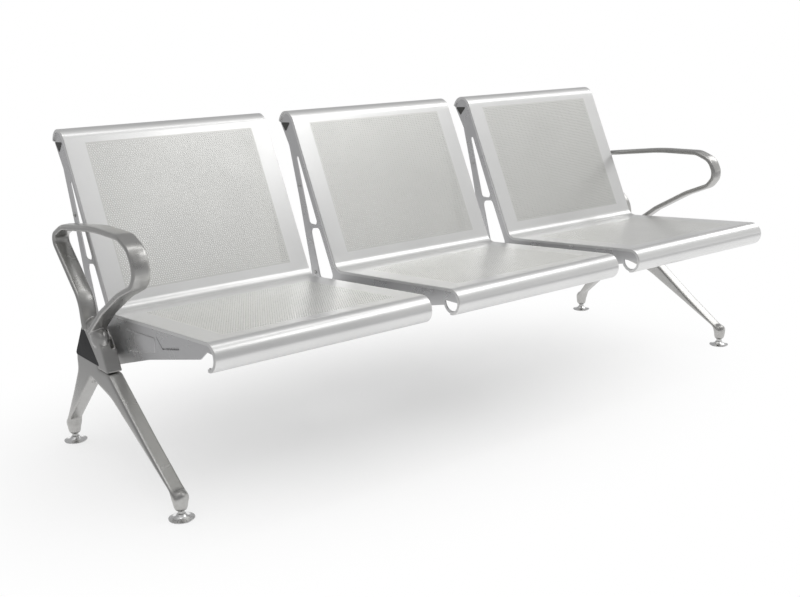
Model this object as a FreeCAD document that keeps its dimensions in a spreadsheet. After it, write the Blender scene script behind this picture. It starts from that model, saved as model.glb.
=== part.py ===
"""Beam seating for a waiting hall: three perforated steel seats on a triangular beam.

Two cast legs with screw glides carry the beam, and a cast armrest stands on each end.
Millimetres. +X runs along the beam to the sitter's left, -Y is the front and +Z is up.
The origin is on the floor, midway between the feet.
"""
import FreeCAD, Part

import math
import os
import re

import Sketcher

V = FreeCAD.Vector
doc = FreeCAD.newDocument("BeamSeating")
sheet = doc.addObject("Spreadsheet::Sheet", "Sizes")
sizes = {}


def size(alias, value):
    """Write one driving size in the spreadsheet and hand it back."""
    sizes[alias] = value
    row = len(sizes)
    sheet.set("A%d" % row, alias)
    sheet.set("B%d" % row, str(value))
    sheet.setAlias("B%d" % row, alias)
    return value


# Seats
seat_width = size("seat_width", 515.0)
seat_gap = size("seat_gap", 75.0)
sheet_wall = size("sheet_wall", 2.0)
edge_depth = size("edge_depth", 7.0)
edge_wall = size("edge_wall", 2.0)
back_lean = size("back_lean", 25.45)
seat_rise = size("seat_rise", 4.31)
crease_radius = size("crease_radius", 30.0)
front_roll_radius = size("front_roll_radius", 30.0)
front_roll_y = size("front_roll_y", -325.8)
front_roll_z = size("front_roll_z", 356.0)
front_roll_end = size("front_roll_end", 272.0)
top_roll_radius = size("top_roll_radius", 35.0)
top_roll_y = size("top_roll_y", 309.6)
top_roll_z = size("top_roll_z", 697.0)
top_roll_end = size("top_roll_end", 14.0)

# Openings that stand for the fine perforations of back and seat
back_margin = size("back_margin", 47.0)
back_low_gap = size("back_low_gap", 20.0)
back_high_gap = size("back_high_gap", 11.0)
pan_margin = size("pan_margin", 50.0)
pan_rear_gap = size("pan_rear_gap", 40.0)
pan_front_gap = size("pan_front_gap", 26.5)
grid_bar = size("grid_bar", 19.0)

# Side plates under and behind each seat
plate_inset = size("plate_inset", 3.5)
plate_wall = size("plate_wall", 3.0)
fit_gap = size("fit_gap", 0.2)
eye_rim = size("eye_rim", 6.5)
eye_open_angle = size("eye_open_angle", 335.0)
hook_end_angle = size("hook_end_angle", 275.0)
boss_height = size("boss_height", 1.2)
slit_width = size("slit_width", 2.5)
plug_proud = size("plug_proud", 0.5)
plug_flange = size("plug_flange", 2.0)
plug_rim = size("plug_rim", 3.0)

# Beam and its end caps
end_reach = size("end_reach", 42.5)
beam_wall = size("beam_wall", 2.5)
beam_top_y = size("beam_top_y", 161.0)
beam_top_z = size("beam_top_z", 313.5)
beam_front_y = size("beam_front_y", 104.8)
beam_rear_y = size("beam_rear_y", 202.6)
beam_bottom_z = size("beam_bottom_z", 255.0)
beam_corner = size("beam_corner", 5.0)
cap_cover = size("cap_cover", 8.0)
cap_wall = size("cap_wall", 3.5)
cap_plug = size("cap_plug", 15.0)
cap_plug_wall = size("cap_plug_wall", 2.0)
cap_corner = size("cap_corner", 4.0)
cap_gap = size("cap_gap", 0.3)

# Legs
casting_width = size("casting_width", 34.0)
leg_fillet = size("leg_fillet", 4.0)
foot_front_y = size("foot_front_y", -219.8)
foot_rear_y = size("foot_rear_y", 328.8)
ankle_radius = size("ankle_radius", 16.0)
ankle_tip_radius = size("ankle_tip_radius", 11.5)
ankle_bottom_z = size("ankle_bottom_z", 21.0)
ankle_height = size("ankle_height", 43.0)
ledge_drop = size("ledge_drop", 5.0)
ledge_front_y = size("ledge_front_y", 46.0)
ledge_rear_y = size("ledge_rear_y", 98.0)
crotch_y = size("crotch_y", 148.0)
crotch_z = size("crotch_z", 208.0)

# Armrests
armrest_band = size("armrest_band", 10.0)
armrest_fillet = size("armrest_fillet", 4.0)
armrest_splay = size("armrest_splay", 2.1)
armrest_pivot_y = size("armrest_pivot_y", 215.0)

# Levelling glides
glide_radius = size("glide_radius", 27.0)
glide_rim = size("glide_rim", 3.0)
glide_height = size("glide_height", 12.0)
glide_neck = size("glide_neck", 9.0)
socket_radius = size("socket_radius", 6.05)
socket_floor = size("socket_floor", 5.0)
stem_foot_radius = size("stem_foot_radius", 6.0)
stem_radius = size("stem_radius", 5.0)
stem_length = size("stem_length", 32.0)
stem_gap = size("stem_gap", 0.3)
collar_across = size("collar_across", 13.0)
collar_height = size("collar_height", 6.0)
bush_radius = size("bush_radius", 8.0)
bush_length = size("bush_length", 34.0)
bush_clearance = size("bush_clearance", 0.05)

# Clamps and screws
clamp_wall = size("clamp_wall", 3.0)
clamp_reach = size("clamp_reach", 32.0)
clamp_drop = size("clamp_drop", 17.0)
clamp_front_y = size("clamp_front_y", 118.0)
clamp_rear_y = size("clamp_rear_y", 190.0)
bolt_radius = size("bolt_radius", 4.0)
bolt_head_across = size("bolt_head_across", 13.0)
bolt_head_height = size("bolt_head_height", 5.5)
bolt_length = size("bolt_length", 13.0)
thread_gap = size("thread_gap", 0.05)
screw_radius = size("screw_radius", 3.0)
screw_head_radius = size("screw_head_radius", 5.5)
screw_head_height = size("screw_head_height", 3.0)
screw_length = size("screw_length", 6.0)
socket_head_radius = size("socket_head_radius", 6.5)
socket_head_height = size("socket_head_height", 8.0)
socket_key = size("socket_key", 3.4)
head_clearance = size("head_clearance", 0.6)
nut_plate_thickness = size("nut_plate_thickness", 8.0)
nut_plate_width = size("nut_plate_width", 24.0)
leg_bolt_length = size("leg_bolt_length", 38.0)
leg_head_drop = size("leg_head_drop", 30.0)
armrest_bolt_y = size("armrest_bolt_y", 86.0)
armrest_bolt_length = size("armrest_bolt_length", 42.0)
armrest_bolt_bite = size("armrest_bolt_bite", 20.0)

doc.recompute()


def bound(text):
    """Expression for the model from one written with the bare names of the sizes."""
    return re.sub(r"[a-z]+(?:_[a-z]+)+", lambda word: "Sizes." + word.group(), text)


# Places that follow from the sizes
grid_columns = 10
grid_rows = 8
seat_pitch = seat_width + seat_gap
beam_length = 3 * seat_width + 2 * seat_gap + 2 * end_reach
whole_beam = "3 * seat_width + 2 * seat_gap + 2 * end_reach"
casting_outer_x = beam_length / 2 + cap_wall
casting_inner_x = casting_outer_x - casting_width
casting_mid_x = (casting_outer_x + casting_inner_x) / 2
plate_outer_x = seat_width / 2 - plate_inset
plate_inner_x = plate_outer_x - plate_wall
seat_places = ["-seat_width - seat_gap", "0 * seat_width", "seat_width + seat_gap"]
sides = {"left": -1, "right": 1}
feet = {"front": foot_front_y, "rear": foot_rear_y}
ledge_z = beam_bottom_z - ledge_drop
leg_head_z = beam_bottom_z - leg_head_drop
leg_bolt_ys = [132, 168]
clamp_bolt_ys = [134, 174]
clamp_bolt_x = plate_inner_x - 18
plate_bolt_z = beam_bottom_z - 9
plate_screw_places = [(209, 331), (265, 547)]
armrest_root_z = 318
rear_slope = (beam_rear_y - beam_top_y) / (beam_top_z - beam_bottom_z)
saddle_rear_y = beam_rear_y + cap_cover * math.hypot(1, rear_slope)


def polar(centre, radius, degrees):
    """Point on a circle about a centre, both as (y, z) pairs."""
    angle = math.radians(degrees)
    return (centre[0] + radius * math.cos(angle), centre[1] + radius * math.sin(angle))


def line(start, end):
    return ("line", start, end)


def arc(centre, radius, begin, finish):
    """Arc from one angle to another, in degrees, counted anticlockwise."""
    return ("arc", centre, radius, begin, finish)


def corner_tangents(before, corner, after, radius):
    """Tangent points and centre of the arc that rounds a corner."""
    ax, ay = before[0] - corner[0], before[1] - corner[1]
    bx, by = after[0] - corner[0], after[1] - corner[1]
    la, lb = math.hypot(ax, ay), math.hypot(bx, by)
    ax, ay, bx, by = ax / la, ay / la, bx / lb, by / lb
    half = math.acos(max(-1.0, min(1.0, ax * bx + ay * by))) / 2
    reach = radius / math.tan(half)
    first = (corner[0] + ax * reach, corner[1] + ay * reach)
    last = (corner[0] + bx * reach, corner[1] + by * reach)
    mx, my = ax + bx, ay + by
    lm = math.hypot(mx, my)
    away = radius / math.sin(half)
    centre = (corner[0] + mx / lm * away, corner[1] + my / lm * away)
    return first, last, centre


def bearing(centre, point):
    return math.degrees(math.atan2(point[1] - centre[1], point[0] - centre[0]))


def corner_arc(first, last, centre, radius):
    """The short arc between two tangent points, whichever way it turns."""
    begin, finish = bearing(centre, first), bearing(centre, last)
    if (finish - begin) % 360 > 180:
        begin, finish = finish, begin
    return arc(centre, radius, begin, begin + (finish - begin) % 360)


def rounded(corners):
    """Closed outline through (y, z, radius) corners."""
    count = len(corners)
    joints = []
    for i, (y, z, radius) in enumerate(corners):
        if radius <= 0:
            joints.append(((y, z), (y, z), None, 0))
            continue
        before, after = corners[i - 1][:2], corners[(i + 1) % count][:2]
        first, last, centre = corner_tangents(before, (y, z), after, radius)
        joints.append((first, last, centre, radius))
    pieces = []
    for i, (first, last, centre, radius) in enumerate(joints):
        if centre:
            pieces.append(corner_arc(first, last, centre, radius))
        pieces.append(line(last, joints[(i + 1) % count][0]))
    return pieces


def grown(corners, by):
    """The same corners moved out by a distance, for a convex outline drawn anticlockwise."""
    count = len(corners)
    moved = []
    for i, (y, z, radius) in enumerate(corners):
        moved.append(offset_corner(corners[i - 1], (y, z), corners[(i + 1) % count], by) + (radius + by,))
    return moved


def offset_corner(before, corner, after, by):
    """Corner of a path whose two runs both move to their right-hand side."""
    ux, uy = corner[0] - before[0], corner[1] - before[1]
    vx, vy = after[0] - corner[0], after[1] - corner[1]
    lu, lv = math.hypot(ux, uy), math.hypot(vx, vy)
    nux, nuy, nvx, nvy = uy / lu, -ux / lu, vy / lv, -vx / lv
    scale = by / (1 + nux * nvx + nuy * nvy)
    return (corner[0] + (nux + nvx) * scale, corner[1] + (nuy + nvy) * scale)


def band(corners, thickness):
    """Outline of a strip of even thickness along an open path of (y, z, radius) corners."""
    edges = []
    for hand in (1, -1):
        by = hand * thickness / 2
        edge = []
        for i, (y, z, radius) in enumerate(corners):
            if i in (0, len(corners) - 1):
                far = corners[1] if i == 0 else corners[i - 1]
                sign = 1 if i == 0 else -1
                dy, dz = (far[0] - y) * sign, (far[1] - z) * sign
                length = math.hypot(dy, dz)
                edge.append((y + dz / length * by, z - dy / length * by, 0))
                continue
            before, after = corners[i - 1], corners[i + 1]
            turn = (y - before[0]) * (after[1] - z) - (z - before[1]) * (after[0] - y)
            moved = offset_corner(before, (y, z), after, by)
            edge.append(moved + (radius + math.copysign(1, turn) * by,))
        edges.append(edge)
    return rounded(edges[0] + edges[1][::-1])


def new_body(name, label):
    body = doc.addObject("PartDesign::Body", name)
    body.Label = label
    return body


def plane(body, role):
    for feature in body.Origin.OriginFeatures:
        if feature.Role == role:
            return feature
    raise ValueError(role)


def sketch_at(body, name, outline, x, role="YZ_Plane"):
    """A sketch across the beam, drawn in (y, z) at a distance x along it."""
    sketch = body.newObject("Sketcher::SketchObject", name)
    sketch.AttachmentSupport = [(plane(body, role), "")]
    sketch.MapMode = "FlatFace"
    sketch.AttachmentOffset = FreeCAD.Placement(V(0, 0, x), FreeCAD.Rotation())
    edges = []
    for piece in outline:
        if piece[0] == "line":
            start, end = piece[1], piece[2]
            if math.dist(start, end) < 1e-6:
                continue
            edges.append(Part.LineSegment(V(start[0], start[1], 0), V(end[0], end[1], 0)))
        elif piece[0] == "circle":
            centre, radius = piece[1], piece[2]
            edges.append(Part.Circle(V(centre[0], centre[1], 0), V(0, 0, 1), radius))
        else:
            centre, radius, begin, finish = piece[1:]
            circle = Part.Circle(V(centre[0], centre[1], 0), V(0, 0, 1), radius)
            edges.append(Part.ArcOfCircle(circle, math.radians(begin), math.radians(finish)))
    sketch.addGeometry(edges, False)
    return sketch


def pad(body, name, outline, start_x, length, side=1):
    """Thicken an outline along X; side -1 thickens towards -X."""
    sketch = sketch_at(body, name + "Outline", outline, start_x)
    feature = body.newObject("PartDesign::Pad", name)
    feature.Profile = sketch
    feature.setExpression("Length", bound(length))
    feature.Reversed = side < 0
    doc.recompute()
    return feature


def cut_sketch(body, name, sketch, length, along_normal):
    """Cut a sketch into a body, along its normal or against it. It has to take material away."""
    before = body.Shape.Volume
    feature = body.newObject("PartDesign::Pocket", name)
    feature.Profile = sketch
    feature.setExpression("Length", bound(length))
    feature.Reversed = along_normal
    doc.recompute()
    if not body.Shape.Volume < before - 0.01:
        raise RuntimeError(name + " cuts nothing")


def pocket(body, name, outline, start_x, length, side=1):
    """Cut an outline along X; side -1 cuts towards -X."""
    sketch = sketch_at(body, name + "Outline", outline, start_x)
    cut_sketch(body, name, sketch, length, side > 0)


def drill(body, name, outline, z, length, side):
    """Cut an outline drawn in (x, y), going up from z for side 1 and down for -1."""
    sketch = sketch_at(body, name + "Outline", outline, z, "XY_Plane")
    cut_sketch(body, name, sketch, length, side > 0)


def cut_down(body, name, outline, start, end, length):
    """Cut an outline, drawn about the middle of the run between two (y, z) points, square to that run."""
    sketch = sketch_at(body, name + "Outline", outline, 0, "XY_Plane")
    middle = V(0, (start[0] + end[0]) / 2, (start[1] + end[1]) / 2)
    tilt = FreeCAD.Rotation(V(1, 0, 0), bearing(start, end))
    sketch.AttachmentOffset = FreeCAD.Placement(middle, tilt)
    cut_sketch(body, name, sketch, length, False)


def turned(body, name, outline, x, axis_y):
    """Turn an outline about the vertical line through (x, axis_y)."""
    sketch = sketch_at(body, name + "Outline", outline, x)
    axis = Part.LineSegment(V(axis_y, 0, 0), V(axis_y, 10, 0))
    sketch.addGeometry(axis, True)
    feature = body.newObject("PartDesign::Revolution", name)
    feature.Profile = sketch
    feature.ReferenceAxis = (sketch, ["Axis0"])
    feature.Angle = 360
    doc.recompute()


def place_at_foot(body, side_name, foot_name):
    """Move a body drawn about the vertical axis to one of the four feet."""
    half_span = "((%s) / 2 + cap_wall - casting_width / 2)" % whole_beam
    body.setExpression("Placement.Base.x", bound("%d * %s" % (sides[side_name], half_span)))
    body.setExpression("Placement.Base.y", bound("foot_%s_y" % foot_name))


def swing_sketch(sketch, swing):
    """Carry an attached sketch through a movement given in the frame of the bench."""
    frame = sketch.Placement * sketch.AttachmentOffset.inverse()
    sketch.AttachmentOffset = frame.inverse() * swing * frame * sketch.AttachmentOffset


def with_radius(corners, radius):
    return [(y, z, radius) for y, z, _ in corners]


def box_outline(y0, z0, y1, z1):
    return rounded([(y0, z0, 0), (y1, z0, 0), (y1, z1, 0), (y0, z1, 0)])


def round_edges(body, name, base, radius, wanted):
    """Fillet the edges of the base feature that the test picks."""
    names = ["Edge%d" % (i + 1) for i, edge in enumerate(base.Shape.Edges) if wanted(edge)]
    feature = body.newObject("PartDesign::Fillet", name)
    feature.Base = (base, names)
    feature.setExpression("Radius", bound(radius))
    doc.recompute()
    return feature


def group(label, members):
    """Equal fasteners as one node of separate solids."""
    feature = doc.addObject("Part::Compound", label)
    feature.Links = members
    feature.Label = label
    return feature


# The bent sheet of a seat, seen from its side

front_roll = (front_roll_y, front_roll_z)
top_roll = (top_roll_y, top_roll_z)
seat_normal = 90.0 - seat_rise
back_normal = 180.0 - back_lean


def crease():
    """Centre of the bend between seat and back, from the two straight runs."""
    seat_point = polar(front_roll, front_roll_radius, seat_normal)
    back_point = polar(top_roll, top_roll_radius, back_normal)
    sy, sz = math.cos(math.radians(seat_normal)), math.sin(math.radians(seat_normal))
    by, bz = math.cos(math.radians(back_normal)), math.sin(math.radians(back_normal))
    seat_at = seat_point[0] * sy + seat_point[1] * sz + crease_radius
    back_at = back_point[0] * by + back_point[1] * bz + crease_radius
    cross = sy * bz - sz * by
    return ((seat_at * bz - back_at * sz) / cross, (sy * back_at - by * seat_at) / cross)


crease_centre = crease()


def under_sheet(depth, top_end, front_end):
    """Path of the sheet at a depth below its face, from the top roll to the front roll."""
    top_radius = top_roll_radius - depth
    front_radius = front_roll_radius - depth
    bend_radius = crease_radius + depth
    bend_back = polar(crease_centre, bend_radius, back_normal + 180)
    bend_seat = polar(crease_centre, bend_radius, seat_normal + 180)
    return [
        arc(top_roll, top_radius, top_end, back_normal),
        line(polar(top_roll, top_radius, back_normal), bend_back),
        arc(crease_centre, bend_radius, seat_normal + 180, back_normal + 180),
        line(bend_seat, polar(front_roll, front_radius, seat_normal)),
        arc(front_roll, front_radius, seat_normal, front_end),
    ]


def straight_runs():
    """The straight back, going up, and the straight seat, going back, as pairs of (y, z) points."""
    path = under_sheet(0, top_roll_end, front_roll_end)
    back_top, back_low = path[1][1:]
    seat_rear, seat_front = path[3][1:]
    return (back_low, back_top), (seat_front, seat_rear)


def sheet_outline(depth):
    """Closed side outline of the bent sheet with a given thickness."""
    ends = [
        line(polar(top_roll, top_roll_radius, top_roll_end), polar(top_roll, top_roll_radius - depth, top_roll_end)),
        line(
            polar(front_roll, front_roll_radius, front_roll_end),
            polar(front_roll, front_roll_radius - depth, front_roll_end),
        ),
    ]
    return under_sheet(0, top_roll_end, front_roll_end) + ends + under_sheet(depth, top_roll_end, front_roll_end)


def run_part(start, end, start_gap, end_gap):
    """Straight run between two (y, z) points, less a gap at each end."""
    length = math.dist(start, end)
    heading = bearing(start, end)
    return polar(start, start_gap, heading), polar(start, length - end_gap, heading)


def grid(width, length):
    """Plain grid of square-cornered openings about the middle of a field."""
    column_step, row_step = width / grid_columns, length / grid_rows
    openings = []
    for column in range(grid_columns):
        for row in range(grid_rows):
            x = column * column_step - width / 2 + grid_bar / 2
            y = row * row_step - length / 2 + grid_bar / 2
            openings += box_outline(x, y, x + column_step - grid_bar, y + row_step - grid_bar)
    return openings


back_run, pan_run = straight_runs()
back_field = run_part(*back_run, back_low_gap, back_high_gap)
pan_field = run_part(*pan_run, pan_front_gap, pan_rear_gap)


def make_seat(number, centre):
    """One pressed steel seat and back with rolled ends, turned side edges and two open fields."""
    label = "seat_shell_%d" % number
    body = new_body("Seat%d" % number, label)
    half = seat_width / 2
    pad(body, "Seat%dSheet" % number, sheet_outline(sheet_wall), -half, "seat_width")
    pad(body, "Seat%dEdgeA" % number, sheet_outline(edge_depth), -half, "edge_wall")
    pad(body, "Seat%dEdgeB" % number, sheet_outline(edge_depth), half, "edge_wall", -1)
    for name, run, margin in (("Back", back_field, back_margin), ("Pan", pan_field, pan_margin)):
        openings = grid(seat_width - 2 * margin, math.dist(*run))
        cut_down(body, "Seat%d%sField" % (number, name), openings, *run, "2 * sheet_wall")
    body.setExpression("Placement.Base.x", bound(centre))
    return body


# Side plates

beam_corners = [
    (beam_front_y, beam_bottom_z, beam_corner),
    (beam_rear_y, beam_bottom_z, beam_corner),
    (beam_top_y, beam_top_z, beam_corner),
]
cap_corners = with_radius(grown(beam_corners, cap_cover), cap_corner)
cap_seat_corners = with_radius(grown(beam_corners, cap_cover + cap_gap), cap_corner)
plug_low_z = beam_bottom_z + beam_wall + nut_plate_thickness + 2


def beam_y(low_y, z):
    """Where a sloping side of the beam, from a low corner to the top, passes a height."""
    return low_y + (beam_top_y - low_y) * (z - beam_bottom_z) / (beam_top_z - beam_bottom_z)


cap_plug_corners = grown(
    [
        (beam_y(beam_front_y, plug_low_z), plug_low_z, beam_corner),
        (beam_y(beam_rear_y, plug_low_z), plug_low_z, beam_corner),
        (beam_top_y, beam_top_z, beam_corner),
    ],
    -beam_wall - cap_gap,
)
long_window = [(188, 455, 9), (227, 455, 9), (275, 621, 5), (264, 621, 5)]
low_window = [(123, 322, 14), (189, 322, 6), (224, 443, 13), (184, 449, 12)]
stiffener = [(20, 289, 4), (46, 334, 4), (-92, 324, 4), (-75, 309, 4)]
slit_top = (-105, 345)
slit_turn = (-129, 326)
slit_wedge = [(-127, 324.5, 1), (-129, 328, 1), (-204, 347.5, 2), (-204, 341, 2)]


def in_top_roll(across, up, radius):
    """Corner placed in the top roll by shares of the roll's radius."""
    return (top_roll_y + across * top_roll_radius, top_roll_z + up * top_roll_radius, radius)


top_window = [in_top_roll(0.21, -0.49, 4), in_top_roll(0.78, 0.14, 2.5), in_top_roll(-0.42, 0.2, 2.5)]


def slot(start, end, width):
    """Outline of a straight slot with round ends."""
    heading = bearing(start, end)
    radius = width / 2
    return [
        line(polar(start, radius, heading - 90), polar(end, radius, heading - 90)),
        arc(end, radius, heading - 90, heading + 90),
        line(polar(end, radius, heading + 90), polar(start, radius, heading + 90)),
        arc(start, radius, heading + 90, heading + 270),
    ]


def plate_outline(eye_end):
    """Outline of a side plate; its front eye ends at the given angle."""
    eye_radius = front_roll_radius - sheet_wall
    path = under_sheet(sheet_wall, top_roll_end, eye_end)
    closed_eye = eye_end == eye_open_angle
    tip = polar(front_roll, eye_radius, eye_end)
    inner = eye_radius - eye_rim
    if closed_eye:
        throat = [line(tip, (tip[0] + 14, tip[1] - 3))]
        begin = throat[0][2]
    else:
        level = front_roll_z + 8
        shoulder = math.degrees(math.asin(8 / inner))
        hook = polar(front_roll, inner, eye_end)
        high = polar(front_roll, inner, 180 - shoulder)
        arch = [(high[0], level), (tip[0] + 17, level)]
        throat = [
            line(tip, hook),
            arc(front_roll, inner, 180 - shoulder, eye_end),
            line(arch[0], (tip[0] + 5, level)),
            line((tip[0] + 5, level), (tip[0] + 33, front_roll_z - 13)),
        ]
        begin = throat[-1][2]
    lip = polar(top_roll, top_roll_radius - sheet_wall, top_roll_end)
    lower = [
        (-62, 288),
        (76, 246),
        (100, 238),
        (214, 238),
        (233, 258),
        (226, 325),
        (229, 346),
        (269, 519),
        (304, 646),
    ]
    points = [begin] + lower + [lip]
    return path + throat + [line(points[i], points[i + 1]) for i in range(len(points) - 1)]


def eye_hole():
    """Half-round opening in the front eye."""
    inner = front_roll_radius - sheet_wall - eye_rim
    left, right = polar(front_roll, inner, 180), polar(front_roll, inner, 360)
    return [line(right, left), arc(front_roll, inner, 180, 360)]


def make_plate(number, centre, side_name):
    """Stamped side plate that carries one edge of a seat on the beam."""
    side = sides[side_name]
    tag = "Plate%d%s" % (number, side_name.title())
    body = new_body(tag, "side_plate_%d_%s" % (number, side_name))
    outer = side * plate_outer_x
    open_eye = number == 1 and side_name == "left"
    outline = plate_outline(hook_end_angle if open_eye else eye_open_angle)
    pad(body, tag + "Web", outline, outer, "plate_wall", -side)
    pad(body, tag + "Stiffener", rounded(stiffener), outer, "boss_height", side)
    pocket(body, tag + "BeamHole", rounded(grown(beam_corners, fit_gap)), outer, "plate_wall", -side)
    pocket(body, tag + "LongWindow", rounded(long_window), outer, "plate_wall", -side)
    pocket(body, tag + "LowWindow", rounded(low_window), outer, "plate_wall", -side)
    pocket(body, tag + "TopWindow", rounded(top_window), outer, "plate_wall", -side)
    if not open_eye:
        pocket(body, tag + "EyeHole", eye_hole(), outer, "plate_wall", -side)
    holes = [(y, plate_bolt_z) for y in clamp_bolt_ys] + plate_screw_places
    round_holes = [("circle", place, screw_radius + thread_gap) for place in holes]
    pocket(body, tag + "Holes", round_holes, outer, "plate_wall", -side)
    pocket(body, tag + "Slit", slot(slit_top, slit_turn, slit_width), outer, "plate_wall", -side)
    pocket(body, tag + "Wedge", rounded(slit_wedge), outer, "plate_wall", -side)
    body.setExpression("Placement.Base.x", bound(centre))
    return body


def make_plug(number, centre, side_name):
    """Dark moulded plug that fills the top window of a side plate."""
    side = sides[side_name]
    tag = "Plug%d%s" % (number, side_name.title())
    body = new_body(tag, "plate_plug_%d_%s" % (number, side_name))
    inner = side * plate_inner_x
    filler = grown(top_window, -fit_gap)
    pad(body, tag + "Filler", rounded(filler), inner, "plate_wall + plug_proud", side)
    pad(body, tag + "Flange", rounded(grown(top_window, plug_rim)), inner, "plug_flange", -side)
    body.setExpression("Placement.Base.x", bound(centre))
    return body


def make_clamp(number, centre, side_name):
    """Steel angle under the beam that holds a side plate to it."""
    side = sides[side_name]
    tag = "Clamp%d%s" % (number, side_name.title())
    body = new_body(tag, "clamp_%d_%s" % (number, side_name))
    inner = side * plate_inner_x
    flat = box_outline(clamp_front_y, beam_bottom_z - clamp_wall, clamp_rear_y, beam_bottom_z)
    upright = box_outline(clamp_front_y, beam_bottom_z - clamp_drop, clamp_rear_y, beam_bottom_z)
    pad(body, tag + "Flat", flat, inner, "clamp_reach", -side)
    pad(body, tag + "Upright", upright, inner, "clamp_wall", -side)
    for index, y in enumerate(clamp_bolt_ys):
        hole = [("circle", (side * clamp_bolt_x, y), bolt_radius + thread_gap)]
        drill(body, tag + "Hole%d" % index, hole, beam_bottom_z, "clamp_drop", -1)
        cross = [("circle", (y, plate_bolt_z), screw_radius + thread_gap)]
        pocket(body, tag + "Cross%d" % index, cross, inner, "clamp_wall", -side)
    body.setExpression("Placement.Base.x", bound(centre))
    return body


# Beam, end caps and the plates that take the leg bolts

def make_beam():
    """Triangular steel tube with holes in its floor for the clamp and leg bolts."""
    body = new_body("Beam", "beam_tube")
    half = beam_length / 2
    pad(body, "BeamTube", rounded(beam_corners), -half, whole_beam)
    pocket(body, "BeamBore", rounded(grown(beam_corners, -beam_wall)), -half, whole_beam)
    holes = []
    for centre_x in (-seat_pitch, 0, seat_pitch):
        for side in (-1, 1):
            holes += [("circle", (centre_x + side * clamp_bolt_x, y), bolt_radius + thread_gap) for y in clamp_bolt_ys]
    for side in (-1, 1):
        holes += [("circle", (side * casting_mid_x, y), bolt_radius + thread_gap) for y in leg_bolt_ys]
    drill(body, "BeamHoles", holes, beam_bottom_z, "2 * beam_wall", 1)
    return body


def make_cap(side_name):
    """Moulded end cap: a triangular flange with a hollow plug inside the tube."""
    side = sides[side_name]
    body = new_body("Cap" + side_name.title(), "beam_end_cap_" + side_name)
    start = side * beam_length / 2
    pad(body, body.Name + "Flange", rounded(cap_corners), start, "cap_wall", side)
    pad(body, body.Name + "Plug", rounded(cap_plug_corners), start, "cap_plug", -side)
    hollow = rounded(grown(cap_plug_corners, -cap_plug_wall))
    pocket(body, body.Name + "Hollow", hollow, side * (beam_length / 2 - cap_plug), "cap_plug", side)
    return body


def make_nut_plate(side_name):
    """Tapped plate inside the tube for the two leg bolts."""
    side = sides[side_name]
    body = new_body("NutPlate" + side_name.title(), "nut_plate_" + side_name)
    floor = beam_bottom_z + beam_wall
    outline = box_outline(leg_bolt_ys[0] - 12, floor, leg_bolt_ys[1] + 12, floor + nut_plate_thickness)
    pad(body, body.Name + "Block", outline, side * (casting_mid_x - nut_plate_width / 2), "nut_plate_width", side)
    holes = [("circle", (side * casting_mid_x, y), bolt_radius + thread_gap) for y in leg_bolt_ys]
    drill(body, body.Name + "Taps", holes, floor, "nut_plate_thickness", 1)
    return body


# Legs

def ankle_outline(foot_y):
    """Half section of the round ankle that holds a glide, beside its axis."""
    return [
        line((foot_y, ankle_bottom_z), (foot_y + ankle_tip_radius, ankle_bottom_z)),
        line((foot_y + ankle_tip_radius, ankle_bottom_z), (foot_y + ankle_radius, ankle_height)),
        line((foot_y + ankle_radius, ankle_height), (foot_y + ankle_radius, ankle_height + 6)),
        arc((foot_y, ankle_height + 6), ankle_radius, 0, 90),
        line((foot_y, ankle_height + 6 + ankle_radius), (foot_y, ankle_bottom_z)),
    ]


def leg_outline():
    """Side outline of a leg: a saddle with a long front limb and a shorter rear limb."""
    front, rear = foot_front_y, foot_rear_y
    return rounded([
        (ledge_front_y, ledge_z, 0),
        (16, 216, 60),
        (-104, 131, 400),
        (front + 16, 65, 60),
        (front - 10, 49, 0),
        (front + 8, 40, 0),
        (front + 16, 56, 0),
        (-92, 115, 300),
        (44, 185, 160),
        (crotch_y, crotch_z, 25),
        (194, 168, 160),
        (rear - 18, 62, 0),
        (rear - 10, 40, 0),
        (rear + 11, 46, 0),
        (rear - 10, 72, 60),
        (262, 149, 160),
        (219, 212, 40),
        (saddle_rear_y + 5, beam_bottom_z - cap_cover, 0),
        (saddle_rear_y, beam_bottom_z, 0),
        (ledge_rear_y, beam_bottom_z, 0),
        (ledge_rear_y, ledge_z, 0),
    ])


def make_leg(side_name):
    """Cast aluminium leg with two limbs, bolted under one end of the beam."""
    side = sides[side_name]
    body = new_body("Leg" + side_name.title(), "leg_" + side_name)
    tag = body.Name
    inner, outer = side * casting_inner_x, side * casting_outer_x
    casting = pad(body, tag + "Casting", leg_outline(), inner, "casting_width", side)

    def limb_edge(edge):
        box = edge.BoundBox
        return box.XLength < 0.01 and 63 < box.ZMax < ledge_z + 1

    round_edges(body, tag + "Rounds", casting, "leg_fillet", limb_edge)
    for foot_name, foot_y in feet.items():
        part = tag + foot_name.title()
        turned(body, part + "Ankle", ankle_outline(foot_y), side * casting_mid_x, foot_y)
        bore = [("circle", (side * casting_mid_x, foot_y), bush_radius)]
        drill(body, part + "Bore", bore, ankle_bottom_z, "bush_length", 1)
    pocket(body, tag + "CapSeat", rounded(cap_seat_corners), outer, "cap_wall + cap_gap", -side)
    for index, y in enumerate(leg_bolt_ys + [armrest_bolt_y]):
        hole = [("circle", (side * casting_mid_x, y), bolt_radius + thread_gap)]
        drill(body, tag + "Hole%d" % index, hole, leg_head_z, "2 * casting_width", 1)
        well = [("circle", (side * casting_mid_x, y), socket_head_radius + head_clearance)]
        drill(body, tag + "Well%d" % index, well, leg_head_z, "2 * casting_width", -1)
    return body


# Armrests

armrest_path = [
    (147, armrest_root_z, 0),
    (155, 381, 62),
    (295, 500, 18),
    (226, 530.5, 110),
    (30, 554, 780),
    (-99, 555.5, 55),
    (-147, 539, 35),
    (-164, 509, 25),
    (-164, 488, 20),
    (-147, 465.5, 36),
    (-73, 436, 200),
    (34, 378, 120),
    (118, armrest_root_z, 0),
]


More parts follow.
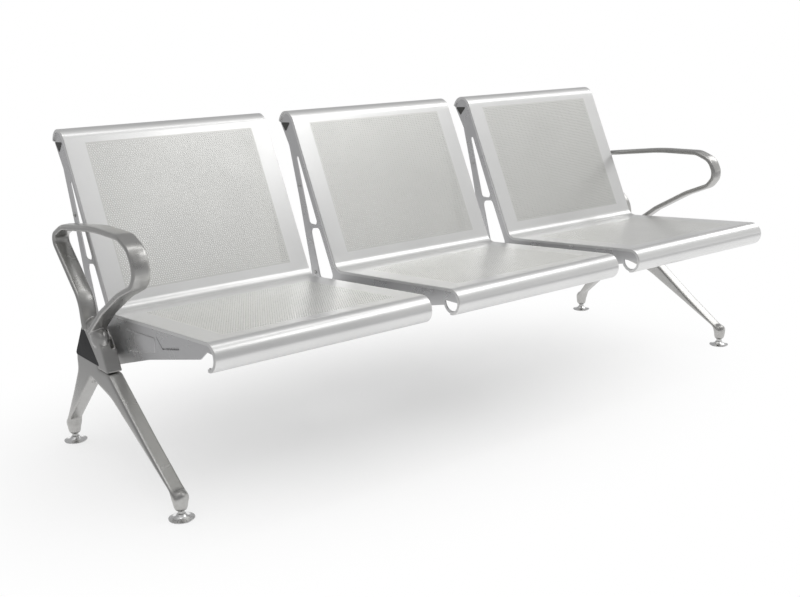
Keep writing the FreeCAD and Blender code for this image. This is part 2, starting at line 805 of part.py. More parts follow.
def make_armrest(side_name):
    """Cast aluminium armrest: a closed loop on a saddle over the end of the beam."""
    side = sides[side_name]
    body = new_body("Armrest" + side_name.title(), "armrest_" + side_name)
    tag = body.Name
    inner, outer = side * casting_inner_x, side * casting_outer_x
    loop = pad(body, tag + "Loop", band(armrest_path, armrest_band), inner, "casting_width", side)
    turn = FreeCAD.Rotation(V(0, 0, 1), side * armrest_splay)
    pivot = V(side * casting_mid_x, armrest_pivot_y, 0)
    swing = FreeCAD.Placement(pivot - turn.multVec(pivot), turn)
    swing_sketch(loop.Profile[0], swing)
    doc.recompute()

    def long_edge(edge):
        return edge.BoundBox.YLength + edge.BoundBox.ZLength > 1.0 and not end_edge(edge)

    def end_edge(edge):
        return edge.BoundBox.ZMax < armrest_root_z + casting_width / 2

    round_edges(body, tag + "Rounds", loop, "armrest_fillet", long_edge)
    saddle = rounded([
        (67, ledge_z, 3),
        (ledge_rear_y - fit_gap, ledge_z, 0),
        (ledge_rear_y - fit_gap, beam_bottom_z, 0),
        (saddle_rear_y, beam_bottom_z, 0),
        (164, 326, 5),
        (153, 343, 8),
        (106, 330, 14),
        (88, 284, 60),
    ])
    pad(body, tag + "Saddle", saddle, inner, "casting_width", side)
    pocket(body, tag + "BeamSeat", rounded(beam_corners), inner, "casting_width", side)
    pocket(body, tag + "CapSeat", rounded(cap_seat_corners), outer, "cap_wall + cap_gap", -side)
    tap = [("circle", (side * casting_mid_x, armrest_bolt_y), bolt_radius + thread_gap)]
    drill(body, tag + "Tap", tap, ledge_z, "armrest_bolt_bite", 1)
    return body


# Levelling glides

def make_bush(side_name, foot_name):
    """Threaded insert pressed into an ankle."""
    body = new_body("Bush%s%s" % (side_name.title(), foot_name.title()), "foot_insert_%s_%s" % (side_name, foot_name))
    outline = box_outline(stem_radius + bush_clearance, ankle_bottom_z, bush_radius, ankle_bottom_z + bush_length)
    turned(body, body.Name + "Sleeve", outline, 0, 0)
    place_at_foot(body, side_name, foot_name)
    return body


def make_pad(side_name, foot_name):
    """Chromed glide foot with a socket for the stem."""
    body = new_body("Pad%s%s" % (side_name.title(), foot_name.title()), "glide_foot_%s_%s" % (side_name, foot_name))
    outline = rounded([
        (0, 0, 0),
        (glide_radius, 0, 1),
        (glide_radius, glide_rim, 1),
        (glide_neck + 6, glide_rim + 4, 12),
        (glide_neck, glide_height, 1.5),
        (socket_radius, glide_height, 0),
        (socket_radius, socket_floor, 0),
        (0, socket_floor, 0),
    ])
    turned(body, body.Name + "Foot", outline, 0, 0)
    place_at_foot(body, side_name, foot_name)
    return body


def make_stem(side_name, foot_name):
    """Screw stem with a hexagonal collar, turned to level the bench."""
    body = new_body("Stem%s%s" % (side_name.title(), foot_name.title()), "glide_stem_%s_%s" % (side_name, foot_name))
    low = socket_floor + stem_gap
    collar_low = glide_height + stem_gap
    collar_high = collar_low + collar_height
    outline = rounded([
        (0, low, 0),
        (stem_foot_radius, low, 0),
        (stem_foot_radius, collar_low + 1, 0),
        (stem_radius, collar_low + 1, 0),
        (stem_radius, collar_high + stem_length, 1),
        (0, collar_high + stem_length, 0),
    ])
    turned(body, body.Name + "Stem", outline, 0, 0)
    across = collar_across / 2 / math.cos(math.radians(30))
    corners = [polar((0, 0), across, 60 * i) for i in range(6)]
    hexagon = [line(corners[i - 1], corners[i]) for i in range(6)]
    collar = body.newObject("PartDesign::Pad", body.Name + "Collar")
    collar.Profile = sketch_at(body, body.Name + "CollarOutline", hexagon, collar_low, "XY_Plane")
    collar.setExpression("Length", bound("collar_height"))
    place_at_foot(body, side_name, foot_name)
    return body


# Screws and bolts, one node for each kind

def fastener(name, head_type, at, axis):
    """A head and a shank along an axis that runs from the head to the tip."""
    if head_type == "hex":
        head = doc.addObject("Part::Prism", name + "Head")
        head.Polygon = 6
        head.setExpression("Circumradius", bound("bolt_head_across / 2 / cos(30 deg)"))
        head.setExpression("Height", bound("bolt_head_height"))
        radius, length, reach = "bolt_radius", "bolt_length", bolt_head_height
    elif head_type == "screw":
        head = doc.addObject("Part::Cone", name + "Head")
        head.setExpression("Radius1", bound("screw_head_radius * 0.7"))
        head.setExpression("Radius2", bound("screw_head_radius"))
        head.setExpression("Height", bound("screw_head_height"))
        radius, length, reach = "screw_radius", "screw_length", screw_head_height
    else:
        head = doc.addObject("Part::Cylinder", name + "Head")
        head.setExpression("Radius", bound("socket_head_radius"))
        head.setExpression("Height", bound("socket_head_height"))
        radius, length, reach = "bolt_radius", head_type, socket_head_height
    shank = doc.addObject("Part::Cylinder", name + "Shank")
    shank.setExpression("Radius", bound(radius))
    shank.setExpression("Height", bound(length))
    turn = FreeCAD.Rotation(V(0, 0, 1), axis)
    head.Placement = FreeCAD.Placement(at - axis * reach, turn)
    shank.Placement = FreeCAD.Placement(at, turn)
    whole = doc.addObject("Part::Fuse", name)
    whole.Base = head
    whole.Tool = shank
    if radius == "bolt_radius" and head_type != "hex":
        key = doc.addObject("Part::Prism", name + "Key")
        key.Polygon = 6
        key.setExpression("Circumradius", bound("socket_key"))
        key.setExpression("Height", bound("socket_head_height / 2"))
        key.Placement = head.Placement
        socket = doc.addObject("Part::Cut", name + "Socket")
        socket.Base = whole
        socket.Tool = key
        return socket
    return whole


def make_fasteners():
    """Every bolt and screw, grouped by kind."""
    up = V(0, 0, 1)
    clamp_bolts, plate_bolts, plate_screws, leg_bolts, armrest_bolts = [], [], [], [], []
    for number, centre_x in enumerate((-seat_pitch, 0, seat_pitch), start=1):
        for side_name, side in sides.items():
            tag = "%d%s" % (number, side_name.title())
            inward = V(-side, 0, 0)
            for index, y in enumerate(clamp_bolt_ys):
                at = V(centre_x + side * clamp_bolt_x, y, beam_bottom_z - clamp_wall)
                clamp_bolts.append(fastener("ClampBolt%s%d" % (tag, index), "hex", at, up))
                at = V(centre_x + side * (plate_inner_x - clamp_wall), y, plate_bolt_z)
                plate_bolts.append(fastener("PlateBolt%s%d" % (tag, index), "screw", at, -inward))
            for index, (y, z) in enumerate(plate_screw_places):
                at = V(centre_x + side * plate_outer_x, y, z)
                plate_screws.append(fastener("PlateScrew%s%d" % (tag, index), "screw", at, inward))
    for side_name, side in sides.items():
        for index, y in enumerate(leg_bolt_ys):
            at = V(side * casting_mid_x, y, leg_head_z)
            leg_bolts.append(fastener("LegBolt%s%d" % (side_name.title(), index), "leg_bolt_length", at, up))
        at = V(side * casting_mid_x, armrest_bolt_y, leg_head_z)
        armrest_bolts.append(fastener("ArmrestBolt" + side_name.title(), "armrest_bolt_length", at, up))
    group("clamp_bolts", clamp_bolts)
    group("plate_bolts", plate_bolts)
    group("plate_screws", plate_screws)
    group("leg_bolts", leg_bolts)
    group("armrest_bolts", armrest_bolts)


for number, centre in enumerate(seat_places, start=1):
    make_seat(number, centre)
    for side_name in sides:
        make_plate(number, centre, side_name)
        make_plug(number, centre, side_name)
        make_clamp(number, centre, side_name)
make_beam()
for side_name in sides:
    make_cap(side_name)
    make_leg(side_name)
    make_armrest(side_name)
    make_nut_plate(side_name)
    for foot_name in feet:
        make_bush(side_name, foot_name)
        make_pad(side_name, foot_name)
        make_stem(side_name, foot_name)
make_fasteners()
doc.recompute()

broken = [o.Name for o in doc.Objects if "Invalid" in o.State or "Error" in o.State]
if broken:
    raise RuntimeError("not built: " + ", ".join(broken))
nodes = [o for o in doc.Objects if o.TypeId in ("PartDesign::Body", "Part::Compound")]
for node in nodes:
    if node.Shape.isNull() or not node.Shape.isValid() or not node.Shape.Solids:
        raise RuntimeError("bad shape: " + node.Label)
os.makedirs("parts", exist_ok=True)
for node in nodes:
    node.Shape.exportStep("parts/" + node.Label + ".step")
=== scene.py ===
"""Looks of a three-seat beam bench in satin silver, on a pale floor.

The bench and the camera are written in millimetres and turned into metres by MM. The studio is in metres.
"""

import math

import bpy
from mathutils import Matrix, Vector


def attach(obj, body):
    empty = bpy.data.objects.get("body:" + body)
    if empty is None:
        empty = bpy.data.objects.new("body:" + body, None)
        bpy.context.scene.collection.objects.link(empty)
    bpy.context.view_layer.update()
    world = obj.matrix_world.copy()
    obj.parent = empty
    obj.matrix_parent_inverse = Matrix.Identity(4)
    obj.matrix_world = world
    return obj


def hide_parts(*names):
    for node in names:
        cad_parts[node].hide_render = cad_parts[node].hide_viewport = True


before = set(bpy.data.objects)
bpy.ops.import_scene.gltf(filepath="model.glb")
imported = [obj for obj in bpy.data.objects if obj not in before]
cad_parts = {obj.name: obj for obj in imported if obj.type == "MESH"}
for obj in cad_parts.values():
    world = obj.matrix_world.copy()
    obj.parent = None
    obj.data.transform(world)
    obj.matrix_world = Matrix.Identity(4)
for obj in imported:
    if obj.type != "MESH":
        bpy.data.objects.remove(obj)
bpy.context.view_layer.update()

MM = 0.001

# Tolerances, overlaps and the fineness of rounds
NEAR = 0.05
MERGE = 0.01
OVERLAP = 1.0
CUT_OVERRUN = 10.0
ARC_STEP = 3.0
SECTION_ARC_STEP = 1.0
ROUND_SIDES = 72
BALL_SIDES = (48, 24)
BEVEL_SEGMENTS = 3
SMOOTH_ANGLE = 40.0

# Seats
SEAT_WIDTH = 515.0
SEAT_PITCH = 590.0
SEAT_SHIFTS = {1: -SEAT_PITCH, 3: SEAT_PITCH}
SHEET_WALL = 2.0
HEM_DEPTH = 7.0
HEM_WALL = 2.0
HEM_BEND = 1.6
BACK_LEAN = 25.45
SEAT_RISE = 4.31
CREASE_RADIUS = 30.0
FRONT_ROLL = (-325.8, 356.0)
FRONT_ROLL_RADIUS = 30.0
FRONT_ROLL_END = 272.0
TOP_ROLL = (309.6, 697.0)
TOP_ROLL_RADIUS = 35.0
TOP_ROLL_END = 14.0
TOP_ROLL_STEPS = 24
CREASE_STEPS = 14
FRONT_ROLL_STEPS = 32
SHEET_SMOOTH_ANGLE = 32.0

# Perforated fields
HOLE_PITCH = 5.6
HOLE_WIDTH = 2.45
FIELD_MERGE = 0.1
FIELD_RIM = 1.0
BACK_MARGIN = 47.0
PAN_MARGIN = 50.0
BACK_FIELD_Z = (390.0, 702.0)
PAN_FIELD_Y = (-297.0, 46.7)

# Levelling glides
GLIDE_X = 876.5
FEET_Y = {"front": -219.8, "rear": 328.8}


def deselect():
    """Leave edit mode and select nothing."""
    if bpy.context.object and bpy.context.object.mode != "OBJECT":
        bpy.ops.object.mode_set(mode="OBJECT")
    bpy.ops.object.select_all(action="DESELECT")


def activate(piece):
    """Make a piece the only selected object."""
    deselect()
    piece.select_set(True)
    bpy.context.view_layer.objects.active = piece


def pick(piece, kind, wanted):
    """Open a piece in edit mode with the vertices, edges or faces selected whose points pass a test."""
    activate(piece)
    bpy.ops.object.mode_set(mode="EDIT")
    bpy.ops.mesh.select_mode(type=kind)
    bpy.ops.mesh.select_all(action="DESELECT")
    bpy.ops.object.mode_set(mode="OBJECT")
    mesh = piece.data
    points = [vertex.co / MM for vertex in mesh.vertices]
    if kind == "VERT":
        for vertex in mesh.vertices:
            vertex.select = wanted([points[vertex.index]])
    elif kind == "EDGE":
        for edge in mesh.edges:
            edge.select = wanted([points[i] for i in edge.vertices])
    else:
        for face in mesh.polygons:
            face.select = wanted([points[i] for i in face.vertices])
    bpy.ops.object.mode_set(mode="EDIT")


def leave():
    """Close a piece that is open in edit mode."""
    bpy.ops.object.mode_set(mode="OBJECT")


def anything(points):
    """Test that picks all of a piece."""
    return True


def nothing(points):
    """Test that picks nothing."""
    return False


def merge_doubles():
    """Merge the selected points that lie on each other."""
    bpy.ops.mesh.remove_doubles(threshold=MERGE * MM)


def apply_modifier(piece, kind, name, **settings):
    """Add a modifier with its settings and apply it."""
    activate(piece)
    modifier = piece.modifiers.new(name, kind)
    for key, value in settings.items():
        setattr(modifier, key, value)
    bpy.ops.object.modifier_apply(modifier=name)


def apply_place(piece):
    """Put the place, turn and scale of a piece into its mesh."""
    activate(piece)
    bpy.ops.object.transform_apply(location=True, rotation=True, scale=True)


def smooth(piece, degrees=SMOOTH_ANGLE):
    """Shade a piece smooth where its faces meet at less than an angle."""
    activate(piece)
    bpy.ops.object.shade_smooth_by_angle(angle=math.radians(degrees))


def copy_aside(piece, name, shift):
    """Copy of a piece with its own mesh, moved along the beam."""
    activate(piece)
    bpy.ops.object.duplicate(linked=False)
    copy = bpy.context.object
    copy.name = name
    copy.location.x = shift * MM
    apply_place(copy)
    return copy


def polar(centre, radius, degrees):
    """Point (y, z) on a circle about a centre."""
    angle = math.radians(degrees)
    return (centre[0] + radius * math.cos(angle), centre[1] + radius * math.sin(angle))


def close_to(place):
    """Test that picks what lies on the line across the bench through a (y, z) place."""
    def wanted(points):
        return all(math.dist((point.y, point.z), place) < NEAR for point in points)
    return wanted


# The camera that took the photo

CAMERA_PLACE = (-1709.6, -2029.9, 948.0)
CAMERA_TURN = (73.915, 1.219, -38.327)
CAMERA_LENS = 47.93
CAMERA_SENSOR = 36.0
CAMERA_SHIFT = (-0.00834, 0.03484)
CAMERA_RANGE = (50.0, 60000.0)


def make_camera():
    bpy.ops.object.camera_add(
        location=[value * MM for value in CAMERA_PLACE],
        rotation=[math.radians(value) for value in CAMERA_TURN],
    )
    camera = bpy.context.object
    camera.name = "photo_camera"
    camera.data.lens = CAMERA_LENS
    camera.data.sensor_width = CAMERA_SENSOR
    camera.data.shift_x, camera.data.shift_y = CAMERA_SHIFT
    camera.data.clip_start, camera.data.clip_end = [value * MM for value in CAMERA_RANGE]
    bpy.context.scene.camera = camera


make_camera()


# Seats

BACK_NORMAL = 180.0 - BACK_LEAN
SEAT_NORMAL = 90.0 - SEAT_RISE


def crease_centre():
    """Centre of the bend that touches the straight back and the straight seat."""
    seat = math.radians(SEAT_NORMAL)
    back = math.radians(BACK_NORMAL)
    seat_side = Vector((math.cos(seat), math.sin(seat)))
    back_side = Vector((math.cos(back), math.sin(back)))
    seat_reach = Vector(FRONT_ROLL).dot(seat_side) + FRONT_ROLL_RADIUS + CREASE_RADIUS
    back_reach = Vector(TOP_ROLL).dot(back_side) + TOP_ROLL_RADIUS + CREASE_RADIUS
    return Matrix((seat_side, back_side)).inverted() @ Vector((seat_reach, back_reach))


CREASE = crease_centre()
BACK_TOP = polar(TOP_ROLL, TOP_ROLL_RADIUS, BACK_NORMAL)
BACK_LOW = polar(CREASE, CREASE_RADIUS, BACK_NORMAL + 180)
SEAT_REAR = polar(CREASE, CREASE_RADIUS, SEAT_NORMAL + 180)
SEAT_FRONT = polar(FRONT_ROLL, FRONT_ROLL_RADIUS, SEAT_NORMAL)


def on_back(z):
    """Point of the straight back at a height."""
    share = (z - BACK_LOW[1]) / (BACK_TOP[1] - BACK_LOW[1])
    return (BACK_LOW[0] + (BACK_TOP[0] - BACK_LOW[0]) * share, z)


def on_seat(y):
    """Point of the straight seat at a distance from the front."""
    share = (y - SEAT_FRONT[0]) / (SEAT_REAR[0] - SEAT_FRONT[0])
    return (y, SEAT_FRONT[1] + (SEAT_REAR[1] - SEAT_FRONT[1]) * share)


BACK_FIELD_ENDS = [on_back(z) for z in BACK_FIELD_Z]
PAN_FIELD_ENDS = [on_seat(y) for y in PAN_FIELD_Y]


def lay_between(piece, start, end):
    """Turn a flat piece, made about the origin with its face up, onto the line between two (y, z) points."""
    middle_y = (start[0] + end[0]) / 2
    middle_z = (start[1] + end[1]) / 2
    piece.location = (0, middle_y * MM, middle_z * MM)
    piece.rotation_euler = (math.atan2(end[1] - start[1], end[0] - start[0]), 0, 0)
    apply_place(piece)


def roll_edge(piece, place, centre, turn, steps):
    """Spin the edge at a place about a line across the bench, by a turn in degrees from Y to Z."""
    pick(piece, "EDGE", close_to(place))
    bpy.ops.mesh.spin(
        steps=steps,
        angle=math.radians(turn),
        center=(0, centre[0] * MM, centre[1] * MM),
        axis=(-1, 0, 0),
    )
    leave()


def cut_along(piece, place, normal):
    """Split the selected faces along a plane through a (x, y, z) place."""
    bpy.ops.mesh.bisect(plane_co=[value * MM for value in place], plane_no=normal)
    leave()


def open_field(piece, low, high, margin):
    """Cut the opening for a perforated field into a flat run between two (y, z) points."""
    half = SEAT_WIDTH / 2 - margin
    run = (Vector(high) - Vector(low)).normalized()
    start = run.dot(Vector(low))
    end = run.dot(Vector(high))
    face_normal = Vector((-run.y, run.x))
    level = face_normal.dot(Vector(low))

    def on_run(points):
        flat = [Vector((point.y, point.z)) for point in points]
        return all(abs(face_normal.dot(point) - level) < NEAR for point in flat)

    def inside(points):
        flat = [run.dot(Vector((point.y, point.z))) for point in points]
        between = all(start - NEAR < value < end + NEAR for value in flat)
        return on_run(points) and between and all(abs(point.x) < half + NEAR for point in points)

    for place in (low, high):
        pick(piece, "FACE", on_run)
        cut_along(piece, (0, place[0], place[1]), (0, run.x, run.y))
    for side in (-1, 1):
        pick(piece, "FACE", on_run)
        cut_along(piece, (side * half, 0, 0), (1, 0, 0))
    pick(piece, "FACE", inside)
    bpy.ops.mesh.delete(type="FACE")
    leave()


def make_seat_sheet():
    """Bent sheet of the middle seat: rolled ends, openings for the fields and turned side edges."""
    bpy.ops.mesh.primitive_plane_add(size=1)
    sheet = bpy.context.object
    sheet.name = "seat_sheet_2"
    sheet.scale = (SEAT_WIDTH * MM, math.dist(BACK_LOW, BACK_TOP) * MM, 1)
    apply_place(sheet)
    lay_between(sheet, BACK_LOW, BACK_TOP)
    roll_edge(sheet, BACK_TOP, TOP_ROLL, TOP_ROLL_END - BACK_NORMAL, TOP_ROLL_STEPS)
    roll_edge(sheet, BACK_LOW, CREASE, SEAT_NORMAL - BACK_NORMAL, CREASE_STEPS)
    pick(sheet, "EDGE", close_to(SEAT_REAR))
    seat_run = (0, (SEAT_FRONT[0] - SEAT_REAR[0]) * MM, (SEAT_FRONT[1] - SEAT_REAR[1]) * MM)
    bpy.ops.mesh.extrude_region_move(TRANSFORM_OT_translate={"value": seat_run})
    leave()
    roll_edge(sheet, SEAT_FRONT, FRONT_ROLL, FRONT_ROLL_END - SEAT_NORMAL, FRONT_ROLL_STEPS)
    pick(sheet, "VERT", anything)
    merge_doubles()
    leave()
    open_field(sheet, *BACK_FIELD_ENDS, BACK_MARGIN)
    open_field(sheet, *PAN_FIELD_ENDS, PAN_MARGIN)
    hem_x = SEAT_WIDTH / 2 - HEM_WALL
    for side in (-1, 1):
        pick(sheet, "FACE", anything)
        cut_along(sheet, (side * hem_x, 0, 0), (1, 0, 0))
    sheet.vertex_groups.new(name="under")
    apply_modifier(
        sheet, "SOLIDIFY", "wall", thickness=SHEET_WALL * MM, offset=-1, shell_vertex_group="under",
    )
    turn_hem(sheet, hem_x)
    round_hem(sheet)
    smooth(sheet, SHEET_SMOOTH_ANGLE)
    apply_modifier(sheet, "WEIGHTED_NORMAL", "even_faces", keep_sharp=True)
    return sheet


def turn_hem(sheet, hem_x):
    """Thicken the under side along both side edges."""
    pick(sheet, "VERT", nothing)
    leave()
    for vertex in sheet.data.vertices:
        under = len(vertex.groups) > 0 and vertex.groups[0].weight > 0.5
        vertex.select = under and abs(vertex.co.x) > (hem_x - NEAR) * MM
    bpy.ops.object.mode_set(mode="EDIT")
    bpy.ops.mesh.select_mode(type="FACE")
    bpy.ops.mesh.extrude_region_shrink_fatten(
        TRANSFORM_OT_shrink_fatten={"value": (HEM_DEPTH - SHEET_WALL) * MM, "use_even_offset": True},
    )
    leave()


def round_hem(sheet):
    """Bend radius along the outer corner of both side edges."""
    pick(sheet, "VERT", nothing)
    leave()
    for vertex in sheet.data.vertices:
        face_side = len(vertex.groups) == 0 or vertex.groups[0].weight < 0.5
        vertex.select = face_side and abs(vertex.co.x) > (SEAT_WIDTH / 2 - NEAR) * MM
    bpy.ops.object.mode_set(mode="EDIT")
    bpy.ops.mesh.select_mode(type="EDGE")
    bpy.ops.mesh.bevel(offset=HEM_BEND * MM, segments=BEVEL_SEGMENTS, affect="EDGES", clamp_overlap=False)
    leave()


def make_field(name, width, length):
    """Perforated sheet about the origin with its face up; each hole is a hexagon as large as a round one."""
    row_step = HOLE_PITCH * math.sqrt(3)
    bpy.ops.mesh.primitive_circle_add(vertices=6, radius=HOLE_PITCH / math.sqrt(3) * MM, fill_type="NGON")
    field = bpy.context.object
    field.name = name
    hole_apothem = HOLE_WIDTH / 2 * math.sqrt(math.pi / math.sqrt(12))
    pick(field, "FACE", anything)
    bpy.ops.mesh.inset(thickness=(HOLE_PITCH / 2 - hole_apothem) * MM)
    bpy.ops.mesh.delete(type="FACE")
    bpy.ops.mesh.select_all(action="SELECT")
    half_step = (HOLE_PITCH / 2 * MM, row_step / 2 * MM, 0)
    bpy.ops.mesh.duplicate_move(TRANSFORM_OT_translate={"value": half_step})
    bpy.ops.mesh.select_all(action="SELECT")
    merge_doubles()
    leave()
    columns = math.ceil(width / HOLE_PITCH) + 2
    rows = math.ceil(length / row_step) + 2
    for count, step in ((columns, (HOLE_PITCH * MM, 0, 0)), (rows, (0, row_step * MM, 0))):
        apply_modifier(
            field, "ARRAY", "repeat", count=count, use_relative_offset=False, use_constant_offset=True,
            constant_offset_displace=step, use_merge_vertices=True, merge_threshold=FIELD_MERGE * MM,
        )
    field.location.x = -(columns - 0.5) / 2 * HOLE_PITCH * MM
    field.location.y = -(rows - 0.5) / 2 * row_step * MM
    apply_place(field)
    edge_x = width / 2 - FIELD_RIM - 2 * hole_apothem
    edge_y = length / 2 - FIELD_RIM - 4 / math.sqrt(3) * hole_apothem

    def on_border(points):
        return abs(points[0].x) > edge_x or abs(points[0].y) > edge_y

    pick(field, "VERT", on_border)
    bpy.ops.mesh.fill_holes(sides=6)
    leave()
    for axis, reach in ((Vector((1, 0, 0)), width / 2), (Vector((0, 1, 0)), length / 2)):
        for side in (-1, 1):
            pick(field, "VERT", anything)
            bpy.ops.mesh.bisect(plane_co=axis * side * reach * MM, plane_no=axis * side, clear_outer=True)
            leave()
    apply_modifier(field, "SOLIDIFY", "wall", thickness=SHEET_WALL * MM, offset=-1)
    return field


def fit_field(name, ends, margin):
    """Perforated sheet of the middle seat between two (y, z) points of its opening."""
    field = make_field(name, SEAT_WIDTH - 2 * margin, math.dist(*ends))
    lay_between(field, *ends)
    return field


def make_seats():
    """The middle seat's sheet and fields, and a copy of each to either side."""
    sheets = {2: make_seat_sheet()}
    fields = {
        "back": {2: fit_field("back_field_2", BACK_FIELD_ENDS, BACK_MARGIN)},
        "pan": {2: fit_field("pan_field_2", PAN_FIELD_ENDS, PAN_MARGIN)},
    }
    for number, shift in SEAT_SHIFTS.items():
        sheets[number] = copy_aside(sheets[2], "seat_sheet_%d" % number, shift)
        for part, row in fields.items():
            row[number] = copy_aside(row[2], "%s_field_%d" % (part, number), shift)
    for number, sheet in sheets.items():
        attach(sheet, "bench")
        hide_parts("seat_shell_%d" % number)
        for row in fields.values():
            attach(row[number], "bench")
    return list(sheets.values()), [field for row in fields.values() for field in row.values()]


seat_sheets, seat_fields = make_seats()


# Castings, modelled at the left end of the beam and mirrored to the right

CASTING_OUTER = -893.5
CASTING_INNER = -859.5
CASTING_MID = (CASTING_OUTER + CASTING_INNER) / 2
BEAM_CORNERS = [(104.8, 255), (202.6, 255), (161, 313.5)]
BEAM_CORNER_RADIUS = 5
CAP_COVER = 8.3
CAP_DEPTH = 3.8
CAP_CORNER_RADIUS = 4
SPLIT_Z = 240.0
ARMREST_SPLAY = 1.9
ARMREST_PIVOT_Y = 215.0


def point_at(name, x, place):
    """New piece of a single selected point, open in edit mode."""
    deselect()
    bpy.ops.mesh.primitive_plane_add(size=MM, location=(x * MM, place[0] * MM, place[1] * MM))
    piece = bpy.context.object
    piece.name = name
    apply_place(piece)
    pick(piece, "VERT", anything)
    bpy.ops.mesh.merge(type="CENTER")
    return piece


def draw_by(move):
    """Draw the selection out by a (y, z) move."""
    bpy.ops.mesh.extrude_region_move(TRANSFORM_OT_translate={"value": (0, move[0] * MM, move[1] * MM)})


def follow(path, step=ARC_STEP):
    """Draw the selection out along a path of (y, z, radius) corners, spun about the centre of each round."""
    place = Vector(path[0][:2])
    for before, corner, after in zip(path, path[1:], path[2:]):
        here = Vector(corner[:2])
        radius = corner[2]
        first = (here - Vector(before[:2])).normalized()
        second = (Vector(after[:2]) - here).normalized()
        turn = math.atan2(first.cross(second), first.dot(second))
        reach = radius * math.tan(abs(turn) / 2)
        draw_by(here - first * reach - place)
        place = here + second * reach
        if radius > 0:
            centre = here - first * reach + Vector((-first.y, first.x)) * math.copysign(radius, turn)
            bpy.ops.mesh.spin(
                steps=max(2, round(abs(turn) * radius / step)),
                angle=turn,
                center=(0, centre.x * MM, centre.y * MM),
                axis=(-1, 0, 0),
            )
    draw_by(Vector(path[-1][:2]) - place)


def draw_outline(name, x, corners, step=ARC_STEP):
    """Closed outline through (y, z, radius) corners at one x, open in edit mode and selected."""
    middle = (Vector(corners[-1][:2]) + Vector(corners[0][:2])) / 2
    piece = point_at(name, x, middle)
    ends = [(middle.x, middle.y, 0)]
    follow(ends + corners + ends, step)
    bpy.ops.mesh.select_all(action="SELECT")
    merge_doubles()
    return piece


def turn_outward():
    """Point all faces of the open piece outwards and close it."""
    bpy.ops.mesh.select_all(action="SELECT")
    bpy.ops.mesh.normals_make_consistent(inside=False)
    leave()


def make_slab(name, corners, start_x, end_x):
    """Solid with a (y, z, radius) outline between two places along the beam."""
    slab = draw_outline(name, start_x, corners)
    bpy.ops.mesh.edge_face_add()
    bpy.ops.mesh.extrude_region_move(TRANSFORM_OT_translate={"value": ((end_x - start_x) * MM, 0, 0)})
    turn_outward()
    return slab


def make_bar(name, section, x, path):
    """Bar with a section of (across, thick, radius) corners, drawn out along a (y, z, radius) path."""
    bar = draw_outline(name, 0, section, SECTION_ARC_STEP)
    leave()
    bar.rotation_euler = (0, 0, -math.pi / 2)
    apply_place(bar)
    run = Vector(path[1][:2]) - Vector(path[0][:2])
    bar.rotation_euler = (math.atan2(run.y, run.x), 0, 0)
    bar.location = (x * MM, path[0][0] * MM, path[0][1] * MM)
    apply_place(bar)
    pick(bar, "VERT", anything)
    follow(path)
    bpy.ops.mesh.select_all(action="SELECT")
    bpy.ops.mesh.fill_holes(sides=0)
    turn_outward()
    return bar


def make_ball(name, centre, radii):
    """Egg-shaped swelling."""
    deselect()
    segments, rings = BALL_SIDES
    bpy.ops.mesh.primitive_uv_sphere_add(
        segments=segments, ring_count=rings, radius=1, location=[value * MM for value in centre],
    )
    ball = bpy.context.object
    ball.name = name
    ball.scale = [value * MM for value in radii]
    apply_place(ball)
    return ball


def draw_up(name, centre, rings):
    """Round piece drawn up from a disc through (radius, height) rings about a (x, y) centre."""
    place = Vector((centre[0] * MM, centre[1] * MM, 0))
    width, level = rings[0]
    deselect()
    bpy.ops.mesh.primitive_circle_add(
        vertices=ROUND_SIDES,
        radius=width * MM,
        fill_type="NGON",
        location=place + Vector((0, 0, level * MM)),
    )
    piece = bpy.context.object
    piece.name = name
    apply_place(piece)
    pick(piece, "FACE", anything)
    for radius, height in rings[1:]:
        bpy.ops.mesh.extrude_region_move(TRANSFORM_OT_translate={"value": (0, 0, (height - level) * MM)})
        share = radius / width
        bpy.ops.transform.resize(value=(share, share, 1), center_override=(place.x, place.y, height * MM))
        width, level = radius, height
    turn_outward()
    return piece


def swing(piece, degrees, x, y):
    """Turn a piece about an upright line."""
    turn = Matrix.Rotation(math.radians(degrees), 3, "Z")
    pivot = Vector((x * MM, y * MM, 0))
    piece.location = pivot - turn @ pivot
    piece.rotation_euler = (0, 0, math.radians(degrees))
    apply_place(piece)


def join(pieces, name):
    """One piece out of several."""
    deselect()
    for piece in pieces:
        piece.select_set(True)
    bpy.context.view_layer.objects.active = pieces[0]
    bpy.ops.object.join()
    pieces[0].name = name
    return pieces[0]


def cut_out(piece, cutter):
    """Take one solid out of another."""
    apply_modifier(piece, "BOOLEAN", "cut", object=cutter, operation="DIFFERENCE", solver="MANIFOLD")
    activate(cutter)
    bpy.ops.object.delete()


def cast_in_one(pieces, name, voxel, passes):
    """Melt overlapping solids into one casting with soft corners."""
    casting = join(pieces, name)
    apply_modifier(casting, "REMESH", "one_skin", mode="VOXEL", voxel_size=voxel * MM, use_smooth_shade=True)
    apply_modifier(casting, "SMOOTH", "polished_corners", factor=0.5, iterations=passes)
    return casting


def grown(corners, by, radius):
    """Convex anticlockwise corners moved out by a distance, each with a corner radius."""
    moved = []
    for i, corner in enumerate(corners):
        before = (Vector(corner) - Vector(corners[i - 1])).normalized()
        after = (Vector(corners[(i + 1) % len(corners)]) - Vector(corner)).normalized()
        out = Vector((before.y + after.y, -before.x - after.x)) / (1 + before.dot(after))
        moved.append((corner[0] + out.x * by, corner[1] + out.y * by, radius))
    return moved


def seat_beam(casting):
    """Cut the way for the beam and the pocket for its end cap."""
    cap = grown(BEAM_CORNERS, CAP_COVER, CAP_CORNER_RADIUS)
    cut_out(casting, make_slab("cap_room", cap, CASTING_OUTER - CUT_OVERRUN, CASTING_OUTER + CAP_DEPTH))
    beam = grown(BEAM_CORNERS, 0, BEAM_CORNER_RADIUS)
    cut_out(casting, make_slab("beam_room", beam, CASTING_OUTER + OVERLAP, CASTING_INNER + CUT_OVERRUN))


